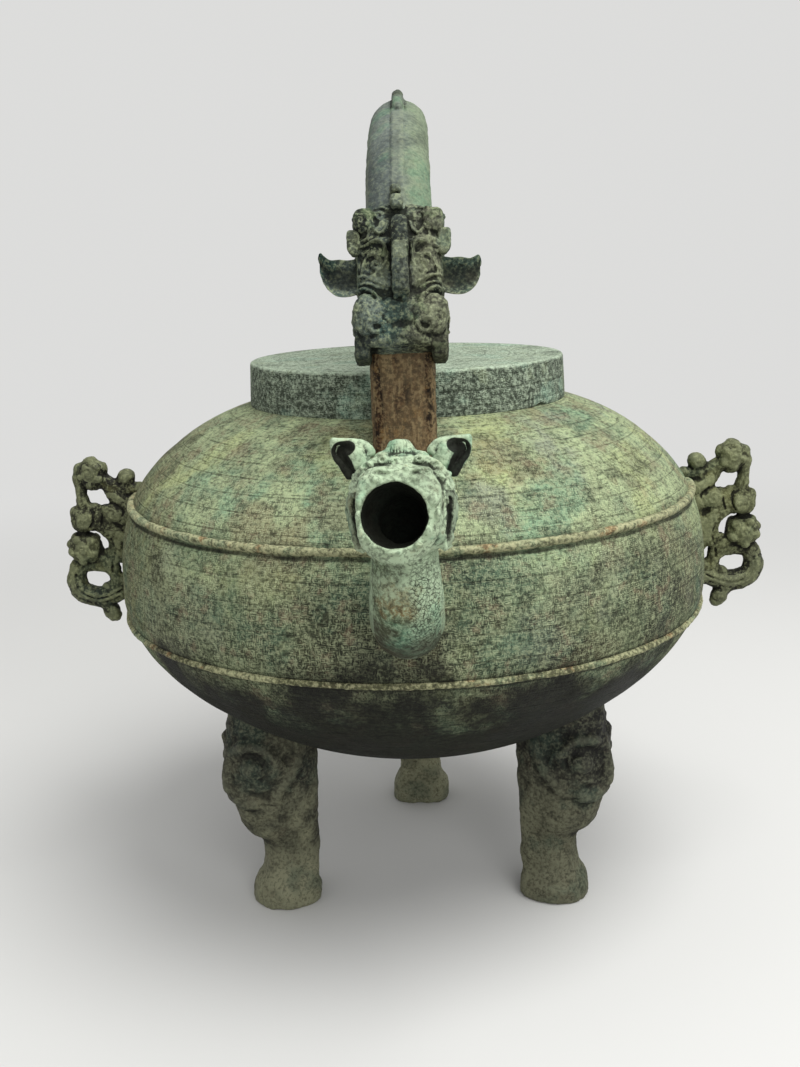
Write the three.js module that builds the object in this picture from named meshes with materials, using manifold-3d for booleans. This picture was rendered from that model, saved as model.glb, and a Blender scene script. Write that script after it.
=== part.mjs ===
// A bronze he: a tripod pouring vessel with a flat lid, a beast-head spout, an arched dragon handle
// and openwork fins. Millimetres, +Z up, the spout towards -Y, the fins on +X, -X and +Y.
// Every cast piece is its own solid. Pieces that were cast or soldered on meet the vessel over a
// short tenon, with a seam of jointGap round it.
import * as THREE from "three";
import { mergeVertices } from "three/addons/utils/BufferGeometryUtils.js";
import Module from "manifold-3d";

const wasm = await Module();
wasm.setup();

// Driving dimensions

const jointGap = 0.3; // seam between two pieces that are joined
const outerSteps = 7; // rings in each quarter of the vessel's outer curve
const innerSteps = 5;
const lathSteps = 48; // facets round the vessel, a multiple of 12 so that legs and fins sit alike

// Vessel: two superellipse quarters that meet at the widest circle.
const bodyRadius = 115;
const widestHeight = 127;
const shoulderRise = 73;
const shoulderFullness = 2.7;
const bellyDrop = 68;
const bellyFullness = 1.8;
const wall = 2.6;
const bandLifts = [-9, 34]; // the two cord bands, above the widest circle
const bandHalfWidth = 2.1;
const bandProud = 1.5;
const neckRadius = 57.4;
const neckRise = 10.4; // from the top of the shoulder's curve to the rim

// Lid: a flat cap whose plate rests on the rim, with a loop and a loose ring on top.
const lidTaper = 0.6;
const lidPlate = 2.6;
const lidSkirt = 16.8;
const lidWall = 3.5;
const lidEdge = 0.9;
const lidRunningGap = 0.4;
const loopSpan = 5.2;
const loopBar = 1.5;
const loopRise = 1.2;
const ringRadius = 8.6;
const ringBar = 1.4;

// Handle: a half circle over the lid, on a plain post in front and on its own tail behind.
const postClearance = 11.9; // from the lid's skirt to the post and to the tail end
const handleRise = 97.6; // from the rim to the top of the arch, without its ridge
const handleWidth = 23;
const handleOuter = 7.6; // from the middle of the bar to its round back
const handleInner = 5.2; // from the middle of the bar to its flat underside
const spineWidth = 4.4;
const spineProud = 1.6;
const postWidth = 21.6;
const postDepth = 13.6;
const crownCurl = 3.4; // size of the curl on the top of the arch
const backCurl = 3;
const headAngle = 18; // degrees up the arch, where the head is centred
const headHalfWidth = 15.4;
const earReach = 12;
const earHeight = 10;
const earThickness = 2.2;
const hornLength = 8.4;
const hornWidth = 3.8;

// Spout: an S-shaped neck with a beast's head whose mouth pours.
const spoutRootRise = 15; // from the widest circle to the middle of the spout's root
const spoutReach = 39;
const spoutMouthRise = 41; // from the root to the mouth
const spoutChest = 34;
const spoutThroat = 4;
const spoutTilt = 15; // degrees that the mouth looks up
const neckOuterRoot = 11.6;
const neckOuterThroat = 9.9;
const boreRadius = 6.8;
const spigotWall = 1.6; // wall of the spigots that the spout's neck ends in
const spoutHeadStart = 0.74; // share of the spout's line where its head begins
const mouthRadius = 8.8;
const spoutHeadWidth = 31;
const spoutHeadHeight = 31.5;
const spoutHeadLength = 25;
const lipWidth = 25.4;

// Legs: a beast's mask over a shank and a paw, hollow along the back.
const legBack = 49; // from the vessel's axis to the straight back of the leg
const pawSetting = 14; // from the leg's back to the middle of the paw
const pawDepth = 25;
const pawWidth = 28.6;
const pawHeight = 10.5;
const shankWidth = 17.4;
const shankDepth = 22.6;
const shankTop = 28;
const maskDepth = 35.5;
const maskWidth = 26;
const maskHeight = 57;
const channelWidth = 9; // of the channel along the back

// Fins: openwork of two entwined dragons, standing out from the vessel's side.
const finDrop = 16.5; // from the widest circle down to the fin's lowest point
const finHeight = 68;
const finReach = 24; // from the widest circle out to the middle of the outermost bar
const finFullness = 1.11; // thickness of the bars against their drawn width
const finThickness = 0.85; // of a bar's width

// Tenons on the vessel that the legs, the fins and the handle are cast over.
const tenonRadius = 4;
const tenonLength = 7;
const finTenonRadius = 2;
const finTenonLength = 4.9;
const finTenonHeights = [14, 42]; // above the fin's lowest point

// Places that follow from the sizes above

const bandHeights = bandLifts.map((lift) => widestHeight + lift);
const rimHeight = widestHeight + shoulderRise + neckRise;
const lidInner = neckRadius + lidRunningGap;
const lidOuter = lidInner + lidWall;
const handleReach = lidOuter + postClearance + postDepth / 2;
const spoutRootHeight = widestHeight + spoutRootRise;
const spoutMouthHeight = spoutRootHeight + spoutMouthRise;
const finFoot = widestHeight - finDrop;

// Solids from geometry

function solid(geometry) {
  const bare = geometry.clone();
  bare.deleteAttribute("normal");
  bare.deleteAttribute("uv");
  const merged = mergeVertices(bare, 1e-4);
  return new wasm.Manifold(
    new wasm.Mesh({
      numProp: 3,
      vertProperties: merged.attributes.position.array,
      triVerts: new Uint32Array(merged.index.array),
    }),
  );
}

function geometryOf(made) {
  const mesh = made.getMesh();
  const geometry = new THREE.BufferGeometry();
  geometry.setAttribute("position", new THREE.BufferAttribute(mesh.vertProperties, 3));
  geometry.setIndex(new THREE.BufferAttribute(mesh.triVerts, 1));
  const flat = geometry.toNonIndexed();
  flat.computeVertexNormals();
  return flat;
}

const join = (first, ...rest) => rest.reduce((a, b) => a.add(b), first);
const cut = (first, ...rest) => rest.reduce((a, b) => a.subtract(b), first);
const moved = (made, matrix) => made.transform(matrix.elements);

// A matrix that turns by degrees about X, Y and Z and then moves.
function placing(x, y, z, turnX = 0, turnY = 0, turnZ = 0) {
  const turn = new THREE.Euler(...[turnX, turnY, turnZ].map(THREE.MathUtils.degToRad));
  const matrix = new THREE.Matrix4().makeRotationFromEuler(turn);
  return matrix.setPosition(x, y, z);
}

// A closed skin over rings of equally many points, with a fan over each end.
function loft(rings) {
  const count = rings[0].length;
  const points = rings.flat();
  const index = [];
  for (let k = 0; k + 1 < rings.length; k++) {
    for (let i = 0; i < count; i++) {
      const a = k * count + i;
      const b = k * count + ((i + 1) % count);
      index.push(a, b, b + count, a, b + count, a + count);
    }
  }
  for (const [k, flip] of [[0, true], [rings.length - 1, false]]) {
    const middle = points.length;
    const centre = new THREE.Vector3();
    rings[k].forEach((p) => centre.addScaledVector(p, 1 / count));
    points.push(centre);
    for (let i = 0; i < count; i++) {
      const a = k * count + i;
      const b = k * count + ((i + 1) % count);
      index.push(...(flip ? [middle, b, a] : [middle, a, b]));
    }
  }
  const geometry = new THREE.BufferGeometry();
  geometry.setAttribute(
    "position",
    new THREE.Float32BufferAttribute(points.flatMap((p) => p.toArray()), 3),
  );
  geometry.setIndex(index);
  const made = solid(geometry);
  return made.volume() > 0 ? made : solid(reversed(geometry));
}

function reversed(geometry) {
  const turned = geometry.clone();
  const index = turned.index.array;
  for (let i = 0; i < index.length; i += 3) {
    [index[i + 1], index[i + 2]] = [index[i + 2], index[i + 1]];
  }
  return turned;
}

// A body of revolution about Z from [radius, height] points that start and end on the axis.
function turned(profile, steps = lathSteps) {
  const points = profile.map(([r, z]) => new THREE.Vector2(Math.max(r, 0), z));
  const geometry = new THREE.LatheGeometry(points, steps);
  geometry.rotateX(Math.PI / 2);
  geometry.deleteAttribute("normal");
  geometry.deleteAttribute("uv");
  const merged = mergeVertices(geometry, 1e-4);
  const made = solid(merged);
  return made.volume() > 0 ? made : solid(reversed(merged));
}

function rod(radius, from, to, sides = 12) {
  const start = new THREE.Vector3(...from);
  const along = new THREE.Vector3(...to).sub(start);
  const geometry = new THREE.CylinderGeometry(radius, radius, along.length(), sides);
  const turn = new THREE.Quaternion().setFromUnitVectors(
    new THREE.Vector3(0, 1, 0),
    along.clone().normalize(),
  );
  geometry.applyQuaternion(turn);
  geometry.translate(...start.addScaledVector(along, 0.5).toArray());
  return solid(geometry);
}

function ball(x, y, z, halfX, halfY, halfZ, sides = 8) {
  const geometry = new THREE.SphereGeometry(1, sides, Math.round(sides / 2));
  geometry.scale(halfX, halfY, halfZ);
  geometry.translate(x, y, z);
  return solid(geometry);
}

// A round bar of changing thickness through [x, y, z, radius] points, with rounded ends.
function limb(points, { sides = 6, steps = points.length + 1, flat = [1, 1, 1] } = {}) {
  const line = new THREE.CatmullRomCurve3(points.map((p) => new THREE.Vector3(...p)));
  const frames = line.computeFrenetFrames(steps);
  const rings = [];
  const ring = (centre, k, radius) => {
    const made = [];
    for (let i = 0; i < sides; i++) {
      const angle = (2 * Math.PI * i) / sides;
      const offset = new THREE.Vector3()
        .addScaledVector(frames.normals[k], radius * Math.cos(angle))
        .addScaledVector(frames.binormals[k], radius * Math.sin(angle))
        .multiply(new THREE.Vector3(...flat));
      made.push(offset.add(centre));
    }
    rings.push(made);
  };
  for (let k = 0; k <= steps; k++) {
    const t = k / steps;
    const at = t * (points.length - 1);
    const i = Math.min(Math.floor(at), points.length - 2);
    const radius = THREE.MathUtils.lerp(points[i][3], points[i + 1][3], at - i);
    const centre = line.getPoint(t);
    const tangent = frames.tangents[k];
    if (k === 0) ring(centre.clone().addScaledVector(tangent, -0.6 * radius), k, 0.6 * radius);
    ring(centre, k, radius);
    if (k === steps) ring(centre.clone().addScaledVector(tangent, 0.6 * radius), k, 0.6 * radius);
  }
  return loft(rings);
}

// Vessel

// Radius of the outer surface at a height, and the height of the shoulder or belly at a radius.
function radiusAt(height) {
  const up = height > widestHeight;
  const share = Math.abs(height - widestHeight) / (up ? shoulderRise : bellyDrop);
  const power = up ? shoulderFullness : bellyFullness;
  return bodyRadius * Math.max(0, 1 - share ** power) ** (1 / power);
}

function heightAt(radius, up) {
  const power = up ? shoulderFullness : bellyFullness;
  const share = (1 - Math.min(1, radius / bodyRadius) ** power) ** (1 / power);
  return widestHeight + (up ? shoulderRise : -bellyDrop) * share;
}

// The outer curve from the foot to the given radius of the shoulder, moved out along its normal.
function outline(lift, withBands, lastRadius) {
  const plain = [];
  const turnSteps = withBands ? outerSteps : innerSteps;
  for (const up of [false, true]) {
    const power = up ? shoulderFullness : bellyFullness;
    for (let k = 0; k <= turnSteps; k++) {
      const angle = (Math.PI / 2) * (up ? k / turnSteps : 1 - k / turnSteps);
      const height = widestHeight + (up ? shoulderRise : -bellyDrop) * Math.sin(angle) ** (2 / power);
      const radius = bodyRadius * Math.cos(angle) ** (2 / power);
      if (up && (k === 0 || radius <= lastRadius)) continue;
      plain.push([radius, height, 0]);
    }
  }
  const inBand = (height) => bandHeights.some((b) => Math.abs(height - b) < 1.6 * bandHalfWidth);
  const points = withBands ? plain.filter(([, height]) => !inBand(height)) : plain;
  if (withBands) {
    for (const middle of bandHeights) {
      for (const [share, proud] of [[-1, 0], [-0.45, 1], [0.45, 1], [1, 0]]) {
        const height = middle + share * bandHalfWidth;
        points.push([radiusAt(height), height, proud * bandProud]);
      }
    }
  }
  points.sort((a, b) => a[1] - b[1]);
  return points.map(([radius, height, proud]) => {
    const slope = (radiusAt(height + 0.05) - radiusAt(height - 0.05)) / 0.1;
    const normal = new THREE.Vector2(1, -slope).normalize();
    if (radius < 1) return [0, height - lift];
    return [radius + (lift + proud) * normal.x, height + (lift + proud) * normal.y];
  });
}

const vesselOutside = (lift) => {
  const neck = neckRadius + lift;
  const side = outline(lift, true, neck + 1);
  return turned([...side, [neck, heightAt(neckRadius, true) + lift], [neck, rimHeight], [0, rimHeight]]);
};

function vesselInside() {
  const inner = neckRadius - wall;
  const side = outline(-wall, false, neckRadius + wall);
  const top = rimHeight + wall;
  return turned([...side, [inner, heightAt(inner, true) - wall], [inner, top], [0, top]]);
}

const legTenonCircle = legBack + maskDepth / 2;
const legAngles = { leg_left: 210, leg_right: 330, leg_rear: 90 };
const finAngles = { fin_right: 0, fin_left: 180, fin_rear: 90 };

const onCircle = (radius, degrees, height) => {
  const angle = THREE.MathUtils.degToRad(degrees);
  return [radius * Math.cos(angle), radius * Math.sin(angle), height];
};

// Tenons that the vessel carries for its legs, fins and handle, grown by a gap where they are sockets.
function legTenon(degrees, gap = 0) {
  const foot = heightAt(legTenonCircle, false) - tenonLength - gap;
  return rod(
    tenonRadius + gap,
    onCircle(legTenonCircle, degrees, foot),
    onCircle(legTenonCircle, degrees, foot + tenonLength + gap + 3 * wall),
  );
}

function finTenon(degrees, height, gap = 0) {
  const from = onCircle(radiusAt(height) - 2 * wall, degrees, height);
  const to = onCircle(radiusAt(height) + finTenonLength + gap, degrees, height);
  return rod(finTenonRadius + gap, from, to, 8);
}

function handleTenon(side, gap = 0) {
  const seat = heightAt(handleReach, true);
  return rod(
    tenonRadius + gap,
    [0, side * handleReach, seat - 3 * wall],
    [0, side * handleReach, seat + tenonLength + gap],
  );
}

function bodyShell() {
  const tenons = [
    ...Object.values(legAngles).map((angle) => legTenon(angle)),
    ...Object.values(finAngles).flatMap((angle) =>
      finTenonHeights.map((height) => finTenon(angle, finFoot + height)),
    ),
    handleTenon(-1),
    handleTenon(1),
  ];
  const spoutHole = rod(
    boreRadius + spigotWall + jointGap,
    [0, -bodyRadius - 5, spoutRootHeight],
    [0, -bodyRadius + 4 * wall, spoutRootHeight],
    24,
  );
  return cut(join(vesselOutside(0), ...tenons), vesselInside(), spoutHole);
}

// Lid

const lidUnderside = rimHeight + jointGap;
const lidTop = lidUnderside + lidPlate;
const lidFoot = lidTop - lidSkirt;
const loopFeet = [-loopSpan, loopSpan];

function lidShell() {
  const cap = turned([
    [0, lidUnderside],
    [lidInner, lidUnderside],
    [lidInner, lidFoot],
    [lidOuter - lidEdge / 2, lidFoot],
    [lidOuter, lidFoot + lidEdge / 2],
    [lidOuter - lidTaper, lidTop - lidEdge],
    [lidOuter - lidTaper - lidEdge, lidTop],
    [0, lidTop],
  ]);
  const holes = loopFeet.map((y) =>
    rod(loopBar + jointGap, [0, y, lidUnderside - 1], [0, y, lidTop + 1]),
  );
  return cut(cap, ...holes);
}

// The loop stands across the vessel's front-to-back line, its feet riveted through the plate.
function lidLoop() {
  const spring = lidTop + loopRise;
  const points = [[0, -loopSpan, lidUnderside + 0.6 * loopBar, loopBar]];
  for (let k = 0; k <= 6; k++) {
    const angle = Math.PI * (1 - k / 6);
    points.push([0, loopSpan * Math.cos(angle), spring + loopSpan * Math.sin(angle), loopBar]);
  }
  points.push([0, loopSpan, lidUnderside + 0.6 * loopBar, loopBar]);
  return limb(points, { sides: 10 });
}

const ringLift = lidTop + ringBar + jointGap;

function lidRing() {
  const geometry = new THREE.TorusGeometry(ringRadius, ringBar, 8, 24);
  geometry.translate(0, ringRadius, ringLift);
  return solid(geometry);
}

// Handle

const archCentre = rimHeight + handleRise - handleOuter - handleReach;
const shoulderAtPost = heightAt(handleReach + postDepth / 2, true) - 2;

// A half-round bar section across X: back is the round side, flat the straight one.
function barRing(centre, outwards, halfWidth, back, under) {
  const ring = [];
  const sides = 16;
  for (let i = 0; i < sides; i++) {
    const angle = (2 * Math.PI * i) / sides;
    const sine = Math.sin(angle);
    const squareness = sine > 0 ? 1 : 0.55;
    const x = halfWidth * Math.sign(Math.cos(angle)) * Math.abs(Math.cos(angle)) ** squareness;
    const roundness = sine > 0 ? 0.9 : 0.5;
    const depth = (sine > 0 ? back : under) * Math.sign(sine) * Math.abs(sine) ** roundness;
    ring.push(new THREE.Vector3(x, 0, 0).addScaledVector(outwards, depth).add(centre));
  }
  return ring;
}

// Place and outward direction on the handle's line, at an angle up from the front post.
function archPoint(degrees) {
  const angle = THREE.MathUtils.degToRad(degrees);
  const outwards = new THREE.Vector3(0, -Math.cos(angle), Math.sin(angle));
  const centre = new THREE.Vector3(0, 0, archCentre).addScaledVector(outwards, handleReach);
  return { centre, outwards };
}

function archBar(fromDegrees, share, grow = 0) {
  const rings = [];
  const half = (share * handleWidth) / 2 + grow;
  const back = share * handleOuter + grow;
  const under = share * handleInner + grow;
  const steps = Math.max(2, Math.round((180 - fromDegrees) / 8));
  for (let k = 0; k <= steps; k++) {
    const { centre, outwards } = archPoint(fromDegrees + ((180 - fromDegrees) * k) / steps);
    rings.push(barRing(centre, outwards, half, back, under));
  }
  const last = new THREE.Vector3(0, handleReach, shoulderAtPost - 10);
  rings.push(barRing(last, new THREE.Vector3(0, 1, 0), half, back, under));
  return loft(rings);
}

// The ridge along the dragon's back, with a curl where it starts and one on the crown of the arch.
function spine(fromDegrees, toDegrees) {
  const points = [];
  for (let k = 0; k <= 20; k++) {
    const { centre, outwards } = archPoint(fromDegrees + ((toDegrees - fromDegrees) * k) / 20);
    centre.addScaledVector(outwards, handleOuter + spineProud - spineWidth / 2);
    points.push([...centre.toArray(), spineWidth / 2]);
  }
  return limb(points, { steps: 16 });
}

function curl(degrees, size) {
  const { centre, outwards } = archPoint(degrees);
  const along = new THREE.Vector3(0, outwards.z, -outwards.y);
  const at = (out, on) =>
    centre
      .clone()
      .addScaledVector(outwards, handleOuter + out)
      .addScaledVector(along, on)
      .toArray();
  return limb([
    [...at(-1, 1.2 * size), 0.5 * size],
    [...at(0.7 * size, 0.5 * size), 0.48 * size],
    [...at(1.25 * size, -0.1 * size), 0.42 * size],
    [...at(0.9 * size, -0.8 * size), 0.36 * size],
  ]);
}

// The arch begins behind the head, with a thinner stub that goes into it.
const archStart = headAngle + 21.4;
const stubAngle = 5;
const stubShare = 0.62;

// The tail that curls up behind the handle's foot, from the middle of the bar.
const tailDrawn = 23; // width of the handle that the tail is drawn for

function tail() {
  const form = limb([
    [0, 4, 10, 6],
    [0, 13, 11, 5],
    [0, 20, 17, 4],
    [0, 19, 24, 3],
    [0, 14, 23, 2.4],
  ]);
  const size = handleWidth / tailDrawn;
  return form.scale([size, size, size]).translate([0, handleReach, shoulderAtPost]);
}

function handleArch() {
  const bar = archBar(archStart, 1);
  const stub = archBar(archStart - stubAngle, stubShare);
  const ridge = spine(archStart + 2, 176);
  const whole = join(bar, stub, ridge, curl(52, backCurl), curl(87, crownCurl), tail());
  return cut(whole, vesselOutside(jointGap), handleTenon(1, jointGap));
}

const postTop = archPoint(headAngle - 4).centre.z;

function postBar(grow = 0) {
  const rings = [];
  const upright = new THREE.Vector3(0, -1, 0);
  for (const height of [shoulderAtPost - 10, archCentre + 5, postTop + grow]) {
    const middle = new THREE.Vector3(0, -handleReach, height);
    const depth = postDepth / 2 + grow;
    rings.push(barRing(middle, upright, postWidth / 2 + grow, depth, depth));
  }
  return loft(rings);
}

function handlePost() {
  return cut(postBar(), vesselOutside(jointGap), handleTenon(-1, jointGap));
}

// The dragon's head, in its own frame: -Y looks out of the arch, +Z runs up it.
const headDrawn = 15.4; // half width that the head's forms are drawn for
const headSize = headHalfWidth / headDrawn;
const headPlace = placing(...archPoint(headAngle).centre.toArray(), -headAngle);
const mirrored = (points) => [points, points.map(([x, ...rest]) => [-x, ...rest])];

function handleHead() {
  const skull = limb(
    [
      [0, 1, -18, 12.5],
      [0, -1.5, -8, 14.6],
      [0, -1, 6, 14.6],
      [0, 0.5, 18, 14],
      [0, 2, 25, 11.6],
    ],
    { sides: 12, steps: 5, flat: [1, 0.86, 1] },
  );
  const snout = limb(
    [[-10, -9, -15, 5.4], [-4, -11.4, -14, 6], [4, -11.4, -14, 6], [10, -9, -15, 5.4]],
    { sides: 8, steps: 4 },
  );
  const bridge = limb([[0, -11, -12, 5.6], [0, -10.5, 0, 6], [0, -9, 12, 5]], { flat: [1.2, 1, 1] });
  const crest = limb(
    [[0, -15.4, -5, 2.6], [0, -15.8, 4, 3], [0, -14.6, 14, 3], [0, -11.6, 23, 2.8]],
    { flat: [0.95, 1.2, 1] },
  );
  const eyes = [-1, 1].map((side) => ball(side * 8, -10.6, 7, 4, 3.4, 4));
  const brows = mirrored([
    [4.5, -11.4, 12.5, 1.7],
    [9, -10.6, 14, 2.1],
    [13, -6.6, 12.5, 2.1],
    [14.6, -2, 8, 1.7],
  ]).map((points) => limb(points));
  const curls = mirrored([
    [6, -8, 20, 2.2],
    [10.5, -5.6, 24, 3],
    [13, -1.6, 21.5, 2.8],
  ]).map((points) => limb(points));
  const cheeks = mirrored([
    [6.4, -11.6, -4, 1.7],
    [11, -8.8, -1.6, 1.9],
    [14.6, -3, -2.4, 1.8],
  ]).map((points) => limb(points));
  const jaws = mirrored([
    [12.6, -3.4, -12, 3.4],
    [12.8, -2.4, -21, 3],
    [11.4, 1.6, -24.5, 2.6],
  ]).map((points) => limb(points));
  const drawn = join(skull, snout, bridge, crest, ...eyes, ...brows, ...curls, ...cheeks, ...jaws);
  const form = drawn.scale([headSize, headSize, headSize]);
  const intoHead = headPlace.clone().invert();
  const post = moved(postBar(jointGap), intoHead);
  const socket = archBar(archStart - stubAngle - 0.4, stubShare, jointGap);
  const bar = moved(join(socket, archBar(archStart - 0.3, 1, jointGap)), intoHead);
  const sockets = [-1, 1].flatMap((side) => [
    moved(earTenon(side, jointGap), earPlace(side)),
    moved(hornBar(jointGap), hornPlace(side)),
  ]);
  return cut(form, post, bar, ...sockets);
}

// An ear: a leaf that curls forward to a point. Its tenon goes into the side of the head.
const earPlace = (side) => placing(side * headHalfWidth, -headSize, headSize);
const earTenonRadius = 2.2;

function earTenon(side, gap = 0) {
  const [inside, outside] = [earReach / 3, earReach / 4];
  return rod(earTenonRadius + gap, [-side * (inside + gap), 0, 0], [side * outside, 0, 0], 8);
}

function ear(side) {
  const rings = [];
  const steps = 8;
  for (let k = 0; k <= steps; k++) {
    const t = k / steps;
    const swell = Math.sin(Math.PI * t);
    const top = earHeight * (0.6 + 0.14 * t * t);
    const rising = THREE.MathUtils.lerp(-0.4 * earHeight, top - 0.1 * earHeight, t ** 2.6);
    const bottom = rising - 0.36 * earHeight * swell;
    const out = side * (jointGap + earReach * (0.04 + t));
    const centre = new THREE.Vector3(out, -0.1 * earReach * swell, (top + bottom) / 2);
    const half = (top - bottom) / 2;
    const ring = [];
    for (let i = 0; i < 10; i++) {
      const angle = (2 * Math.PI * i) / 10;
      const depth = (earThickness / 2) * (Math.sin(angle) - Math.cos(angle) ** 2);
      ring.push(new THREE.Vector3(0, depth, half * Math.cos(angle)).add(centre));
    }
    rings.push(ring);
  }
  return join(loft(rings), earTenon(side));
}

// A horn: a short blunt peg that stands out beside the brow.
const hornPlace = (side) => {
  const [x, y, z] = [13, -4.6, 8.6].map((value) => value * headSize);
  return placing(side * x, y, z, 12, side * 16, 0);
};

function hornBar(gap = 0) {
  const box = new THREE.BoxGeometry(hornWidth + 2 * gap, hornWidth + 2 * gap, hornLength + gap);
  box.translate(0, 0, hornLength / 2 - gap / 2);
  return solid(box);
}

function horn() {
  const cap = ball(0, 0, hornLength, 0.62 * hornWidth, 0.62 * hornWidth, 0.42 * hornWidth, 10);
  return join(hornBar(), cap);
}

// Spout

const spoutLine = new THREE.CubicBezierCurve3(
  new THREE.Vector3(0, -(bodyRadius - wall - 1.5), spoutRootHeight),
  new THREE.Vector3(0, -(bodyRadius + spoutChest), spoutRootHeight),
  new THREE.Vector3(0, -(bodyRadius + spoutThroat), spoutMouthHeight - 5),
  new THREE.Vector3(0, -(bodyRadius + spoutReach), spoutMouthHeight),
);

// A tube along the spout's line from share a to share b, whose radius goes through the given values.
function spoutTube(from, to, radii, { steps = 9, sides = 16 } = {}) {
  const rings = [];
  for (let k = 0; k <= steps; k++) {
    const share = k / steps;
    const t = from + (to - from) * share;
    const at = share * (radii.length - 1);
    const i = Math.min(Math.floor(at), radii.length - 2);
    const radius = THREE.MathUtils.lerp(radii[i], radii[i + 1], at - i);
    const centre = spoutLine.getPoint(t);
    const tangent = spoutLine.getTangent(t);
    const upwards = new THREE.Vector3(0, -tangent.z, tangent.y).negate();
    const ring = [];
    for (let n = 0; n < sides; n++) {
      const angle = (2 * Math.PI * n) / sides;
      const offset = new THREE.Vector3(radius * Math.cos(angle), 0, 0);
      ring.push(offset.addScaledVector(upwards, radius * Math.sin(angle)).add(centre));
    }
    rings.push(ring);
  }
  return loft(rings);
}

// The spigot at the throat, from before to after the place where the head begins.
function spoutSpigot(before, after, gap) {
  const radius = boreRadius + spigotWall + gap;
  return spoutTube(spoutHeadStart - before, spoutHeadStart + after, [radius, radius], { steps: 3 });
}

function spoutNeck() {
  const swell = [neckOuterRoot, neckOuterRoot + 0.5, neckOuterThroat, neckOuterThroat];
  const outer = spoutTube(0, spoutHeadStart, swell);
  const spigot = rod(
    boreRadius + spigotWall,
    [0, -bodyRadius + wall + 0.6, spoutRootHeight],
    [0, -bodyRadius - 6, spoutRootHeight],
    20,
  );
  const stub = spoutSpigot(0.02, 0.07, 0);
  const bore = join(
    spoutTube(0, 1, [boreRadius, boreRadius, boreRadius, boreRadius]),
    rod(boreRadius, [0, -bodyRadius + 3 * wall, spoutRootHeight], [0, -bodyRadius, spoutRootHeight], 20),
  );
  return cut(join(cut(outer, vesselOutside(jointGap)), spigot, stub), bore);
}

// The beast's head on the spout, in its own frame: -Y is the way that it pours.
const spoutHeadDrawn = 31; // width that the small forms of the head are drawn for
const spoutHeadSize = spoutHeadWidth / spoutHeadDrawn;
const spoutMouth = spoutLine.getPoint(1);
const spoutHeadPlace = placing(...spoutMouth.toArray(), -spoutTilt);

function spoutHead() {
  const rings = [];
  const stations = [
    [spoutHeadLength, 0.7, 0.66, 0.4],
    [0.8 * spoutHeadLength, 0.9, 0.86, 0.8],
    [0.5 * spoutHeadLength, 1, 1, 1],
    [0.24 * spoutHeadLength, 0.98, 0.96, 0.7],
    [0.1 * spoutHeadLength, lipWidth / spoutHeadWidth + 0.04, 0.86, 0.1],
    [0, lipWidth / spoutHeadWidth, 0.82, 0],
  ];
  for (const [y, wide, tall, lift] of stations) {
    const ring = [];
    for (let n = 0; n < 20; n++) {
      const angle = (2 * Math.PI * n) / 20;
      const corner = 0.78;
      const x = Math.sign(Math.cos(angle)) * Math.abs(Math.cos(angle)) ** corner;
      const z = Math.sign(Math.sin(angle)) * Math.abs(Math.sin(angle)) ** corner;
      const height = (z * tall + 0.1 * lift) * (spoutHeadHeight / 2);
      ring.push(new THREE.Vector3((x * wide * spoutHeadWidth) / 2, y, height));
    }
    rings.push(ring);
  }
  const skull = loft(rings);
  const crown = ball(0, 12.5, 0.6, 6.4, 6.5, 3.4);
  const eyes = [-1, 1].map((side) => ball(side * 10.4, 7.5, -3.4, 3.4, 3.2, 3));
  const nose = limb([[-7, 2.4, -3.2, 2.2], [0, 1.8, -2, 2.8], [7, 2.4, -3.2, 2.2]], { steps: 4 });
  const cheeks = mirrored([
    [14, 9, -11.7, 2.4],
    [15, 7.4, -17.7, 2.6],
    [13.6, 6.8, -24.3, 2.4],
  ]).map((points) => limb(points, { steps: 4 }));
  const features = join(crown, nose, ...eyes, ...cheeks)
    .scale([spoutHeadSize, spoutHeadSize, spoutHeadSize])
    .translate([0, 0, spoutHeadHeight / 2]);
  const form = join(skull, features);
  const intoHead = spoutHeadPlace.clone().invert();
  const flaring = [boreRadius, boreRadius, boreRadius + 0.6, mouthRadius];
  const bore = moved(spoutTube(spoutHeadStart - 0.1, 1, flaring, { steps: 4 }), intoHead);
  const throat = neckOuterThroat + jointGap + 0.1;
  const flare = rod(mouthRadius, [0, -3, 0], [0, 5, 0], 20);
  const seat = moved(
    join(
      spoutTube(0, spoutHeadStart + 0.012, [neckOuterRoot, neckOuterRoot, throat, throat]),
      spoutSpigot(0.05, 0.08, jointGap),
    ),
    intoHead,
  );
  const sockets = [-1, 1].map((side) => moved(spoutEarTenon(jointGap), spoutEarPlace(side)));
  return cut(form, bore, flare, seat, ...sockets);
}

// A spout ear: an open cup with a pointed top, on a short tenon.
const spoutEarPlace = (side) => {
  const [x, y] = [12.4 * spoutHeadSize, 11 * spoutHeadSize];
  return placing(side * x, y, spoutHeadHeight / 2 - 0.2, -14, side * 38, 0);
};

function spoutEarTenon(gap = 0) {
  const [radius, inside, outside] = [2, 5, 2.5].map((value) => value * spoutHeadSize);
  return rod(radius + gap, [0, 0, -inside - gap], [0, 0, outside], 8);
}

function spoutEar(side) {
  const cup = limb(
    [
      [0, 0, -0.4, 3],
      [0, -0.4, 2.6, 4.2],
      [0, -0.4, 6, 4.4],
      [1.4 * side, 0.2, 9, 2.8],
      [2.6 * side, 0.6, 11.4, 0.9],
    ],
    { sides: 10, steps: 6, flat: [1.15, 0.75, 1] },
  );
  const hollow = limb(
    [
      [0.2 * side, -3.4, 3, 1.6],
      [0.6 * side, -3, 6, 3.2],
      [1.8 * side, -2.6, 9.2, 2],
    ],
    { sides: 8, steps: 4 },
  );
  const leaf = cut(cup, hollow).scale([spoutHeadSize, spoutHeadSize, spoutHeadSize]);
  return join(leaf, spoutEarTenon());
}

// Legs

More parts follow.
